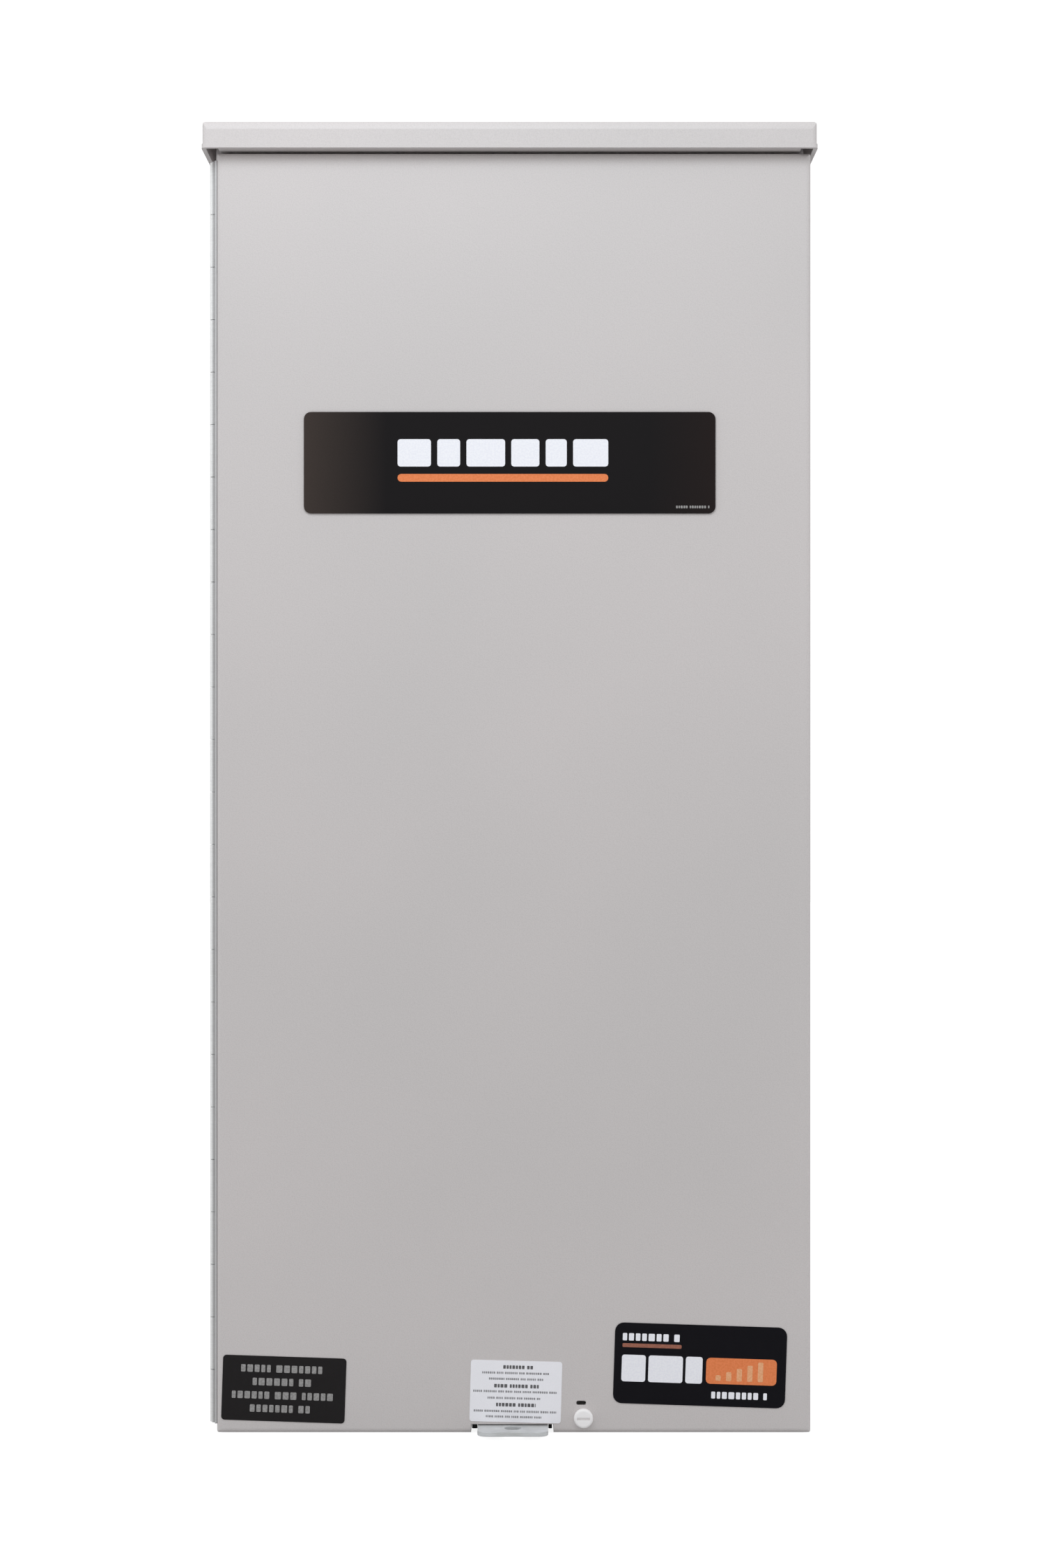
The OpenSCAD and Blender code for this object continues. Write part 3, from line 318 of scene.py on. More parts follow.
def hingeFinishWithPaintedLight(name):
    # painted highlight and painted shade: bright along the barrel, darker where the leaf meets the door
    material, tree, shader, coords = startFinish(name, 0.38, 0.25)
    low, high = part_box("hinge_leaf_door")
    # painted highlight and painted shade, laid across the hinge from left to right
    body = ramp(tree, alongRight(tree, coords, low.x, high.x),
                *((place, tone(code)) for place, code in hingeLook["stops"]))
    lines = noise(tree, coords, hingeLook["lineScale"], 2.0, hingeLook["lineStretch"])
    streak = ramp(tree, lines, (0.3, 0.93), (0.7, 1.03))
    tree.links.new(blendColours(tree, 1.0, body, streak, "MULTIPLY"), shader.inputs["Base Color"])
    tree.links.new(spread(tree, lines, *hingeLook["roughness"]), shader.inputs["Roughness"])
    relief(tree, shader, ((lines, hingeLook["lineDepth"], 0.35),), hingeLook["edge"])
    return material


plateLook = {"half": 0.117, "roughness": 0.4,  # half of its width, metres
             "stops": ((0.0, "3d3430"), (0.2, "131012"), (0.84, "131012"), (1.0, "1e1514"))}


def wornPlate(name):
    # black plate that has faded a little towards its ends
    material, tree, shader, coords = startFinish(name, plateLook["roughness"], Specular_IOR_Level=0.16)
    fade = ramp(tree, alongRight(tree, coords, -plateLook["half"], plateLook["half"]),
                *((place, tone(code)) for place, code in plateLook["stops"]))
    grain = vinylSurface(tree, shader, coords, plateLook["roughness"])
    worn = blendColours(tree, 1.0, fade, ramp(tree, grain, (0.3, 0.9), (0.7, 1.0)), "MULTIPLY")
    tree.links.new(worn, shader.inputs["Base Color"])
    return material


def galvanised(name):
    # hot dipped sheet: flakes of slightly different greys
    material, tree, shader, coords = startFinish(name, 0.42, 0.75)
    flakes = tree.nodes.new("ShaderNodeTexVoronoi")
    flakes.inputs["Scale"].default_value = 85.0
    flakes.inputs["Randomness"].default_value = 1.0
    tree.links.new(coords, flakes.inputs["Vector"])
    grey = tree.nodes.new("ShaderNodeSeparateColor")
    tree.links.new(flakes.outputs["Color"], grey.inputs["Color"])
    cloud = noise(tree, coords, 9.0, 3.0)
    body = ramp(tree, grey.outputs["Red"], (0.0, tone("b9bcbd")), (1.0, tone("d3d6d7")))
    dull = ramp(tree, cloud, (0.35, 0.9), (0.65, 1.0))
    tree.links.new(blendColours(tree, 1.0, body, dull, "MULTIPLY"), shader.inputs["Base Color"])
    tree.links.new(spread(tree, grey.outputs["Green"], 0.34, 0.5), shader.inputs["Roughness"])
    relief(tree, shader, ((grey.outputs["Blue"], 0.00002, 0.3),), 0.0004)
    return material


# colour and shade of each plastic and metal
plastics = {
    "door_screw_cap": ("fffdfd", "fbf8f8"),
    "seal_foam": ("2a2a2b", "1f1f20"),
    "breaker_black": ("262627", "1e1e1f"),
    "toggle_black": ("1c1c1d", "151516"),
    "button_red": ("a32a22", "8e231d"),
    "button_blue": ("2c4f8f", "25447d"),
    "sensor_blue": ("274a86", "1f3d72"),
    "thermoset_red": ("7c2d22", "6a251c"),
    "shaft_resin": ("d8cfa8", "c9bf95"),
    "coil_tape": ("c9a23a", "b48d2c"),
    "board_green": ("1f5a38", "194b2e"),
    "monitor_white": ("dcdad4", "d0cec7"),
    "wire_red": ("8f2a24", "7c231e"),
    "handle_orange": ("d0641f", "b95518"),
}
metals = {
    "dark_steel": ("55534f", "3f3d3b", castLook),
    "lever_steel": ("b8b7b0", "8f8d86", platedLook),
    "lug_aluminium": ("c4c5c5", "a9aaa9", castLook),
    "bar_screw_green": ("c0c1b9", "9fa095", castLook),
    "copper": ("c8794f", "a35d3c", platedLook),
    "standoff_brass": ("c9a55a", "a9873f", castLook),
}


def plainName(slotName):
    # "lever_steel" to "leverSteel"
    first, *others = slotName.split("_")
    return first + "".join(word.capitalize() for word in others)


finishes = {
    "cabinet_paint": powderCoat("cabinetPaint", "d2cccb", "cec9c8", paintLook),
    "dead_front_paint": powderCoat("deadFrontPaint", "d9d8d4", "d2d1cd", paintLook),
    "hinge_steel": hingeFinishWithPaintedLight("hingeSteel"),
    "zinc_steel": rolledMetal("zincSteel", "e2e4e6", "cfd0cf", {**platedLook, "metallic": 0.35}),
    "plate_black": labelVinyl("plateBlack", "131012", "0f0d0e", 0.4, 0.16),
    "label_black": labelVinyl("labelBlack", "0f0d14", "0c0b10", 0.35, 0.12),
    "label_white": labelVinyl("labelWhite", "fbfaff", "f4f3f8", 0.5),
}
for name, tones in plastics.items():
    finishes[name] = mouldedPlastic(plainName(name), *tones, plasticLook)
for name, tonesAndLook in metals.items():
    finishes[name] = rolledMetal(plainName(name), *tonesAndLook)
for node in nodes.values():
    for slot in node.material_slots:
        slot.material = finishes[slot.material.name]
nodes["backplate"].material_slots[0].material = galvanised("galvanisedPlate")
nodes["main_label"].material_slots[0].material = wornPlate("mainPlateBlack")
nodes["corner_label_left"].material_slots[0].material = labelVinyl(
    "labelCharcoal", "1d1a1b", "181516", 0.4, 0.2)
print("finishes:", len(finishes))

# small shapes, drawn in millimetres as read from the front: right, up, out
mm = 0.001
sink = 0.02  # how far printing starts below the face it lies on


def spot(right=0.0, up=0.0, out=0.0, tilt=0.0, facing=-1):
    # where a flat piece sits: facing -1 looks out of the door, 1 looks into the cabinet
    turn = Matrix.Rotation(math.radians(tilt), 4, "Z")
    axes = Matrix(((-facing, 0, 0, right), (0, 0, facing, facing * out), (0, 1, 0, up), (0, 0, 0, 1)))
    return axes @ turn


def roundedOutline(x, y, width, height, radius, steps=3):
    radius = min(radius, width / 2 - 0.001, height / 2 - 0.001)
    points = []
    for cx, cy, start in ((1, 1, 0), (-1, 1, 90), (-1, -1, 180), (1, -1, 270)):
        for k in range(steps + 1):
            angle = math.radians(start + 90 * k / steps)
            points.append((x + cx * (width / 2 - radius) + radius * math.cos(angle),
                           y + cy * (height / 2 - radius) + radius * math.sin(angle)))
    return points


def circle(x, y, radius, sides=24):
    return [(x + radius * math.cos(math.tau * k / sides),
             y + radius * math.sin(math.tau * k / sides)) for k in range(sides)]


def prism(shape, outline, low, high):
    ends = [[shape.verts.new((x * mm, y * mm, z * mm)) for x, y in outline] for z in (low, high)]
    shape.faces.new(list(reversed(ends[0])))
    shape.faces.new(ends[1])
    count = len(outline)
    for k in range(count):
        nextOne = (k + 1) % count
        shape.faces.new((ends[0][k], ends[0][nextOne], ends[1][nextOne], ends[1][k]))


def slab(shape, x0, y0, x1, y1, low, high, radius=0.0):
    if radius:
        outline = roundedOutline((x0 + x1) / 2, (y0 + y1) / 2, x1 - x0, y1 - y0, radius)
    else:
        outline = [(x0, y0), (x1, y0), (x1, y1), (x0, y1)]
    prism(shape, outline, low, high)


def collar(shape, outer, inner, low, high):
    # a closed band between two outlines with the same number of points
    count = len(outer)
    rows = [[shape.verts.new((x * mm, y * mm, z * mm)) for x, y in outline]
            for outline, z in ((outer, low), (outer, high), (inner, high), (inner, low))]
    for a in range(4):
        b = (a + 1) % 4
        for k in range(count):
            nextOne = (k + 1) % count
            shape.faces.new((rows[a][k], rows[a][nextOne], rows[b][nextOne], rows[b][k]))


def tube(shape, x, y, outer, inner, low, high, sides=28):
    collar(shape, circle(x, y, outer, sides), circle(x, y, inner, sides), low, high)


def frameLine(shape, x, y, width, height, thick, radius, low, high):
    # a rounded rectangle drawn as a line
    collar(shape, roundedOutline(x, y, width, height, radius[0]),
           roundedOutline(x, y, width - 2 * thick, height - 2 * thick, radius[1]), low, high)


def line(shape, start, end, width, low, high):
    along = Vector(end) - Vector(start)
    side = Vector((-along.y, along.x)).normalized() * width / 2
    corners = [Vector(start) - side, Vector(end) - side, Vector(end) + side, Vector(start) + side]
    prism(shape, [tuple(c) for c in corners], low, high)


def slottedHead(shape, x, y, radius, low, high, slotWidth, slotDepth, turned=0.0):
    # a screw head: a plain disc, and two half discs above it that leave the slot between them
    prism(shape, circle(x, y, radius), low, high - slotDepth)
    edge = math.asin(slotWidth / 2 / radius)
    for half in (0, 1):
        start, stop = edge + half * math.pi, math.pi - edge + half * math.pi
        arc = [start + (stop - start) * k / 10 for k in range(11)]
        prism(shape, [(x + radius * math.cos(a + turned), y + radius * math.sin(a + turned))
                      for a in arc], high - slotDepth, high)


def bars(blocks, low, high):
    # a drawing of plain bars, each given as middle, up, width, height
    def draw(shape):
        for x, y, width, height in blocks:
            slab(shape, x - width / 2, y - height / 2, x + width / 2, y + height / 2, low, high)
    return draw


def makePiece(name, draw, finish, slot, body="enclosure", place=None, easedEdge=0.0):
    shape = bmesh.new()
    draw(shape)
    bmesh.ops.recalc_face_normals(shape, faces=shape.faces)
    mesh = bpy.data.meshes.new(name)
    shape.to_mesh(mesh)
    shape.free()
    mesh.materials.append(finish)
    piece = bpy.data.objects.new(name, mesh)
    scene.collection.objects.link(piece)
    piece.matrix_world = place or spot()
    if easedEdge:
        ease = piece.modifiers.new("easedEdge", "BEVEL")
        ease.width = easedEdge * mm
        ease.segments = 2
        ease.limit_method = "ANGLE"
    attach(piece, body)


def plate(name, area, low, high, finish, slot="label_white", radius=0.0, **more):
    # a piece that is a single slab; its area is left, bottom, right, top
    def draw(shape):
        slab(shape, *area, low, high, radius)
    makePiece(name, draw, finish, slot, **more)


def boxOf(node):
    # lowest corner, highest corner and middle of a node, in millimetres
    low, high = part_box(node)
    return low / mm, high / mm, (low + high) / 2 / mm


# printing on the labels: plain blocks in place of words
inkLook = {"film": 0.05, "lift": 0.01, "letterGap": 0.24, "wordGap": 0.75}


def inkFinish(name, colour, shade):
    material, tree, shader, coords = startFinish(name, 0.45, Specular_IOR_Level=0.3)
    patch = noise(tree, coords, 900.0, 3.0)
    body = blendColours(tree, ramp(tree, patch, (0.4, 0.0), (0.6, 1.0)), tone(shade), tone(colour))
    tree.links.new(body, shader.inputs["Base Color"])
    relief(tree, shader, ((patch, 0.00001, 0.1),))
    return material


inks = {
    "white": inkFinish("inkWhite", "fafaff", "f4f4fb"),
    "grey": inkFinish("inkGrey", "a2a09f", "8b8988"),
    "darkGrey": inkFinish("inkDarkGrey", "5b5a5c", "6a696b"),
    "softGrey": inkFinish("inkSoftGrey", "908f92", "9d9c9f"),
    "orange": inkFinish("inkOrange", "f08a55", "e8814b"),
    "paleOrange": inkFinish("inkPaleOrange", "f2b58a", "eba877"),
    "rust": inkFinish("inkRust", "a86a55", "96604f"),
}


def wordBlocks(rows, dice):
    # each row is (middle, up, width, height): it is broken into blocks like letters and words
    blocks = []
    for middle, up, width, height in rows:
        left, right, letters = middle - width / 2, middle + width / 2, 0
        wordLength = dice.randint(4, 8)
        while left < right - 0.2 * height:
            block = min(height * dice.uniform(0.5, 0.85), right - left)
            blocks.append((left + block / 2, up, block, height))
            letters += 1
            gap = inkLook["letterGap"]
            if letters == wordLength:
                gap, letters, wordLength = inkLook["wordGap"], 0, dice.randint(3, 8)
            left += block + gap * height
    return blocks


def words(name, rows, dice, low, high, ink="darkGrey", slot="label_black", **more):
    # bars in place of words, between two heights
    makePiece(name, bars(wordBlocks(rows, dice), low, high), inks[ink], slot, **more)


def labelSpot(label, tilt, lift):
    # the middle of a label's front, turned with it
    low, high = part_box(label)
    middle = (low + high) / 2
    return spot(middle.x, middle.z, lift * mm - low.y, tilt)


def printOn(name, label, tilt, blocks, ink, slot="label_white", radius=0.25):
    def draw(shape):
        for x, y, width, height in blocks:
            prism(shape, roundedOutline(x, y, width, height, min(radius, 0.45 * height)),
                  0.0, inkLook["film"] + inkLook["lift"])
    makePiece(name, draw, inks[ink], slot, "door", labelSpot(label, tilt, -inkLook["lift"]))


mainPlate = {
    "heading": [(-54.3, 19.0), (-34.7, 13.0), (-13.6, 22.0), (8.9, 16.0), (26.5, 12.0),
                (46.1, 20.0)],  # middle and width of each block
    "headingUp": 5.6, "headingHeight": 15.6, "headingRound": 1.6,
    "underline": (-3.85, -8.6, 119.9, 4.4), "underlineRound": 2.0,
    "smallPrint": (104.2, -25.2, 19.0, 1.5), "seed": 3,
}


def printMainPlate():
    heading = [(x, mainPlate["headingUp"], width, mainPlate["headingHeight"])
               for x, width in mainPlate["heading"]]
    printOn("mainPlateHeading", "main_label", 0, heading, "white", radius=mainPlate["headingRound"])
    printOn("mainPlateLine", "main_label", 0, [mainPlate["underline"]], "orange",
            radius=mainPlate["underlineRound"])
    dice = random.Random(mainPlate["seed"])
    printOn("mainPlateSmallPrint", "main_label", 0, wordBlocks([mainPlate["smallPrint"]], dice), "grey")


leftCard = {
    "tilt": -1.9, "seed": 4, "round": 0.5,
    "rows": [(0.1, 11.4, 49.6, 4.2), (-0.4, 3.9, 35.0, 4.2), (-0.6, -3.8, 57.8, 4.2),
             (-1.0, -11.3, 36.0, 4.2)],
}


def printLeftCard():
    dice = random.Random(leftCard["seed"])
    printOn("leftCardPrint", "corner_label_left", leftCard["tilt"],
            wordBlocks(leftCard["rows"], dice), "grey", radius=leftCard["round"])


noticeCard = {
    "tilt": -1.52, "seed": 9,
    "headings": [(1.0, 13.9, 17.0, 2.0), (0.6, 3.1, 26.0, 2.0), (0.2, -7.6, 22.5, 2.0)],
    "lines": [(0.0, 10.5, 39.0, 1.2), (0.2, 7.1, 31.4, 1.2), (-0.4, -0.1, 47.8, 1.2),
              (-0.9, -3.8, 30.3, 1.2), (-0.2, -11.3, 47.0, 1.2), (-0.9, -14.4, 31.7, 1.2)],
}


def printNoticeCard():
    dice = random.Random(noticeCard["seed"])
    for name, rows, ink in (("noticeHeadings", "headings", "darkGrey"),
                            ("noticeLines", "lines", "softGrey")):
        printOn(name, "notice_label", noticeCard["tilt"], wordBlocks(noticeCard[rows], dice), ink,
                slot="label_black")


rightCard = {
    "tilt": -1.9, "seed": 12, "smallRound": 0.5, "bigRound": 1.4, "barRound": 2.4,
    "topRow": (-27.7, 15.0, 33.6, 4.2),
    "topLine": (-27.7, 10.2, 33.6, 2.2), "topLineRound": 0.6,
    "bigBlocks": [(-37.8, -2.8, 13.6, 15.2), (-19.6, -2.8, 19.6, 15.2), (-3.4, -2.8, 9.6, 15.2)],
    "bar": (23.6, -2.8, 40.2, 14.8),
    "levels": 5, "levelFirst": (10.5, -8.4), "levelPitch": 6.0, "levelWidth": 3.0,
    "levelShortest": 3.2, "levelStep": 2.0, "levelRound": 0.7, "levelThick": 0.04,
    "bottomRow": (23.5, -16.6, 33.2, 3.9),
}


def printRightCard():
    label, tilt = "corner_label_right", rightCard["tilt"]
    small = wordBlocks([rightCard["topRow"], rightCard["bottomRow"]], random.Random(rightCard["seed"]))
    printOn("rightCardSmallPrint", label, tilt, small, "white", radius=rightCard["smallRound"])
    printOn("rightCardBlocks", label, tilt, rightCard["bigBlocks"], "white", radius=rightCard["bigRound"])
    printOn("rightCardTopLine", label, tilt, [rightCard["topLine"]], "rust",
            radius=rightCard["topLineRound"])
    printOn("rightCardBar", label, tilt, [rightCard["bar"]], "orange", radius=rightCard["barRound"])

    def levels(shape):
        right, bottom = rightCard["levelFirst"]
        for k in range(rightCard["levels"]):
            tall = rightCard["levelShortest"] + rightCard["levelStep"] * k
            prism(shape, roundedOutline(right + rightCard["levelPitch"] * k, bottom + tall / 2,
                                        rightCard["levelWidth"], tall, rightCard["levelRound"]),
                  0.0, rightCard["levelThick"])
    makePiece("rightCardLevels", levels, inks["paleOrange"], "label_white", "door",
              labelSpot(label, tilt, inkLook["film"]))


# finishes of the small things inside
smallPlastics = {
    "coverFilm": ("14212b", "101a22", 0.16),  # colour, shade, roughness
    "sleeveBlue": ("1c2c55", "172446", 0.48),
    "chipBlack": ("1b1b1d", "141415", 0.48),
    "relayBlue": ("2b5fa0", "24528c", 0.48),
    "plugGreen": ("2f7a45", "27683a", 0.48),
    "trackGreen": ("2f7348", "2a6840", 0.48),
    "lampGreen": ("3fae5a", "34974c", 0.2),
    "lampYellow": ("d9b13a", "c49c2d", 0.2),
    "glass": ("c8cbc4", "b2b6ad", 0.12),
    "nylon": ("e4e0d2", "d6d1c0", 0.48),
}
extraFinishes = {
    "brightPlate": rolledMetal("brightPlate", "d6d8d8", "b5b7b6", castLook),
    "solder": rolledMetal("solder", "c9cac8", "a3a4a2", castLook),
}
for name, (colour, shade, rough) in smallPlastics.items():
    extraFinishes[name] = mouldedPlastic(name, colour, shade, {**plasticLook, "roughness": rough})
labelWhite = finishes["label_white"]

outside = {
    "stripHalf": 165.5, "stripGap": 0.15, "stripThick": 1.0, "stripBehindLip": 2.6,
    "padGap": 0.3, "padReach": (3.4, 2.4), "padDrop": 2.5, "padHeight": 8.0, "padAhead": 0.8,
}


def dressOutside():
    # a painted rain strip closes the slit behind the hood's lip, above the door
    lip = boxOf("top_hood")[0]
    shell = boxOf("cabinet_shell")[0]
    half, low = outside["stripHalf"], lip.z + outside["stripGap"]
    plate("hoodRainStrip", (-half, low, half, low + outside["stripThick"]),
          -shell.y + outside["padGap"], -lip.y - outside["stripBehindLip"],
          finishes["cabinet_paint"], "cabinet_paint")
    hasp, haspEnd = boxOf("hasp_plate")[:2]
    gap, (leftReach, rightReach) = outside["padGap"], outside["padReach"]

    # painted shade: dark foam pads set in the side gaps of the hasp's notch, where there is only shade
    def shadePads(shape):
        for left, right in ((hasp.x - leftReach, hasp.x - gap), (haspEnd.x + gap, haspEnd.x + rightReach)):
            slab(shape, left, shell.z - outside["padDrop"], right, shell.z + outside["padHeight"],
                 -shell.y + 0.05, -shell.y + outside["padAhead"], 0.4)
    makePiece("haspShadePads", shadePads, finishes["seal_foam"], "seal_foam")
    print("rain strip and hasp pads in place")


breakerDress = {
    "markRight": -19.0,                       # on and off marks, from the case's middle
    "bar": (1.6, 4.0, 8.0),                   # width, start above the toggle's middle, height
    "ring": (3.4, 2.3, -14.0),                # outer and inner radius, up
    "rating": (13.0, 6.0, 11.0, 1.1, 2.2),    # right, up, width, height, pitch
    "sticker": (52.0, 6.5, -27.4),            # width, height, up
    "stickerRows": [(-4, -22.6, 38, 1.4), (-6, -25.4, 33, 1.2)],
    "ink": 0.06, "seed": 21,
}


def dressBreaker():
    case, z = boxOf("breaker_case"), boxOf("breaker_toggle")[2].z
    face, middle = -case[0].y, case[2].x
    x = middle + breakerDress["markRight"]

    def marks(shape):
        ink = face + breakerDress["ink"]
        barWidth, barUp, barHeight = breakerDress["bar"]
        slab(shape, x - barWidth / 2, z + barUp, x + barWidth / 2, z + barUp + barHeight, face - sink, ink)
        outer, inner, ringUp = breakerDress["ring"]
        tube(shape, x, z + ringUp, outer, inner, face - sink, ink)
        right, up, width, height, pitch = breakerDress["rating"]
        for k in range(4):
            slab(shape, middle + right, z + up + pitch * k, middle + right + width - 2 * (k % 3),
                 z + up + height + pitch * k, face - sink, ink)
    makePiece("breakerMarks", marks, inks["white"], "label_white")

    width, height, up = breakerDress["sticker"]
    plate("breakerSticker", (middle - width / 2, z + up, middle + width / 2, z + up + height),
          face - sink, face + 0.1, labelWhite, radius=1.0)
    rows = [(middle + right, z + up, width, height)
            for right, up, width, height in breakerDress["stickerRows"]]
    words("breakerStickerPrint", rows, random.Random(breakerDress["seed"]), face + 0.08, face + 0.14)


deadFrontCard = {"left": -108.5, "up": 196.0, "width": 23.0, "height": 52.0, "round": 1.5,
                 "band": (2, 11, 3), "rows": 11, "rowPitch": 3.2, "rowDrop": 16,
                 "rowWidth": (11, 18), "rowHeight": 1.1, "seed": 31}


def dressDeadFront():
    face = -boxOf("dead_front")[0].y
    left, low = deadFrontCard["left"], deadFrontCard["up"]
    right, high = left + deadFrontCard["width"], low + deadFrontCard["height"]

    plate("deadFrontCard", (left, low, right, high), face - sink, face + 0.15, labelWhite,
          radius=deadFrontCard["round"])
    dice = random.Random(deadFrontCard["seed"])
    rows = [((left + right) / 2, high - deadFrontCard["rowDrop"] - deadFrontCard["rowPitch"] * k,
             dice.uniform(*deadFrontCard["rowWidth"]), deadFrontCard["rowHeight"])
            for k in range(deadFrontCard["rows"])]
    words("deadFrontCardPrint", rows, dice, face + 0.13, face + 0.18)
    side, bottom, top = deadFrontCard["band"]
    plate("deadFrontCardBand", (left + side, high - bottom, right - side, high - top),
          face + 0.13, face + 0.18, inks["orange"], radius=0.8)


# places on the board are left, bottom, right, top
board = {
    "seed": 41, "smallParts": 46, "vias": 90, "tracks": 16, "corner": 10,
    "partLong": 3.2, "partWide": 1.6, "partHigh": 0.75, "endWide": 0.5, "endHigh": 0.8,
    "supply": (58, 78, 92, 108), "supplyHigh": 26.0, "vents": 9, "ventPitch": 3.2,
    "chips": [((60, 14, 84, 38), 2.2, 1.1), ((58, -30, 74, -18), 2.0, 1.0),
              ((82, -32, 96, -20), 3.0, 1.2)],  # place, height, height of the legs
    "legPitch": 1.905, "legWide": 0.7, "legLong": 1.5,
    "chipRows": [(72, 29, 16, 1.5), (71, 25.5, 14, 1.2), (66, -24, 10, 1.1), (89, -26, 9, 1.1)],
    "plug": (56, -54, 82, -44), "plugs": 3, "plugPitch": 30, "plugHigh": 11.0, "poles": 5,
    "socket": (134, 10, 144, 70), "socketHigh": 12.0, "socketRibs": 11, "ribPitch": 5.2,
    "relay": (104, 18, 124, 36), "relays": 4, "relayPitch": 23, "relayHigh": 16.0,
    "relayRows": [(13.5, 13, 1.3), (10, 10, 1.0), (7, 12, 1.0)],  # up, width, height
    "can": (66, 62), "cans": 3, "canPitch": 15, "canRadius": 5.5, "canHigh": 18.0,
    "greenLamps": [(128, 100), (128, 94)], "yellowLamps": [(128, 88), (98, -2)],
}


def moved(place, right=0, up=0):
    return (place[0] + right, place[1] + up, place[2] + right, place[3] + up)


def boardPlaces():
    plugs = [moved(board["plug"], right=board["plugPitch"] * i) for i in range(board["plugs"])]
    relays = [moved(board["relay"], up=board["relayPitch"] * i) for i in range(board["relays"])]
    right, up = board["can"]
    cans = [(right + board["canPitch"] * i, up) for i in range(board["cans"])]
    return [place for place, high, legs in board["chips"]], plugs, relays, cans


def scatterOnBoard(dice, taken, edges):
    # small parts and vias wherever nothing else stands
    left, bottom, right, upper = edges

    def free(place, gap):
        x0, z0, x1, z1 = place
        return all(x1 + gap < a or x0 - gap > c or z1 + gap < b or z0 - gap > d for a, b, c, d in taken)

    parts = []
    for attempt in range(900):
        if len(parts) == board["smallParts"]:
            break
        wide = dice.choice((True, False))
        size = (board["partLong"], board["partWide"])
        width, height = size if wide else reversed(size)
        x, z = dice.uniform(left + 4, right - 4), dice.uniform(bottom + 4, upper - 4)
        place = (x - width / 2, z - height / 2, x + width / 2, z + height / 2)
        if free(place, 1.6):
            taken.append(place)
            parts.append((place, wide))
    vias = []
    for attempt in range(1500):
        if len(vias) == board["vias"]:
            break
        x, z = dice.uniform(left + 3, right - 3), dice.uniform(bottom + 3, upper - 3)
        apart = all((x - a) ** 2 + (z - b) ** 2 > 6 for a, b in vias)
        if apart and free((x - 0.5, z - 0.5, x + 0.5, z + 0.5), 0.4):
            vias.append((x, z))
    return parts, vias


def drawSmallParts(parts, top):
    def bodies(shape):
        cut = 0.45
        for (a, b, c, d), wide in parts:
            across, along = (cut, 0) if wide else (0, cut)
            slab(shape, a + across, b + along, c - across, d - along, top - sink, top + board["partHigh"])
    makePiece("boardSmallParts", bodies, extraFinishes["chipBlack"], "breaker_black")

    def ends(shape):
        end = board["endWide"]
        for (a, b, c, d), wide in parts:
            pair = ((a, b, a + end, d), (c - end, b, c, d)) if wide else \
                ((a, b, c, b + end), (a, d - end, c, d))
            for place in pair:
                slab(shape, *place, top - sink, top + board["endHigh"])
        for place, high, legHigh in board["chips"]:
            drawLegs(shape, place, top, legHigh)
    makePiece("boardSolderedEnds", ends, extraFinishes["solder"], "zinc_steel")


def drawLegs(shape, place, top, legHigh):
    x0, z0, x1, z1 = place
    half, long, step = board["legWide"] / 2, board["legLong"], board["legPitch"]
    legs = []
    for k in range(int((x1 - x0 - 3) / step) + 1):
        x = x0 + 1.5 + k * step
        legs += [(x - half, z0 - long, x + half, z0 + sink), (x - half, z1 - sink, x + half, z1 + long)]
    if z1 - z0 > 20:  # only the big square chip has legs on all four sides
        for k in range(int((z1 - z0 - 3) / step) + 1):
            z = z0 + 1.5 + k * step
            legs += [(x0 - long, z - half, x0 + sink, z + half), (x1 - sink, z - half, x1 + long, z + half)]
    for leg in legs:
        slab(shape, *leg, top - sink, top + legHigh)


def drawTracks(dice, edges, top):
    left, bottom, right, upper = edges

    def tracks(shape):
        for k in range(board["tracks"]):
            x, z = dice.uniform(left + 6, right - 10), dice.uniform(bottom + 12, upper - 12)
            for part in range(4):
                upright, size = part % 2, dice.uniform(5, 17) * dice.choice((-1, 1))
                x1 = min(max(x + (0 if upright else size), left + 4), right - 4)
                z1 = min(max(z + (size if upright else 0), bottom + 4), upper - 4)
                if abs(x1 - x) + abs(z1 - z) > 1:
                    line(shape, (x, z), (x1, z1), 0.45, top - sink, top + 0.025)
                x, z = x1, z1
    makePiece("boardTracks", tracks, extraFinishes["trackGreen"], "board_green")


def drawOutlines(places, parts, top):
    def outlines(shape):
        for a, b, c, d in places:
            frameLine(shape, (a + c) / 2, (b + d) / 2, c - a + 3.4, d - b + 3.4, 0.3, (0.9, 0.6),
                      top - sink, top + 0.03)
        for (a, b, c, d), wide in parts[::3]:
            slab(shape, a, d + 0.5, a + 1.6, d + 1.3, top - sink, top + 0.03)
    makePiece("boardOutlines", outlines, inks["white"], "label_white")


def drawBoardRelays(relays, dice, top):
    high = top + board["relayHigh"]

    def covers(shape):
        for a, b, c, d in relays:
            slab(shape, a - 0.4, b - 0.4, c + 0.4, d + 0.4, top + 1.0, high + 0.4, 1.2)
    makePiece("boardRelayCovers", covers, extraFinishes["relayBlue"], "sensor_blue", easedEdge=0.5)
    rows = [((a + c) / 2, b + up, width, height) for a, b, c, d in relays
            for up, width, height in board["relayRows"]]
    words("boardRelayPrint", rows, dice, high + 0.38, high + 0.45, "white", "label_white")


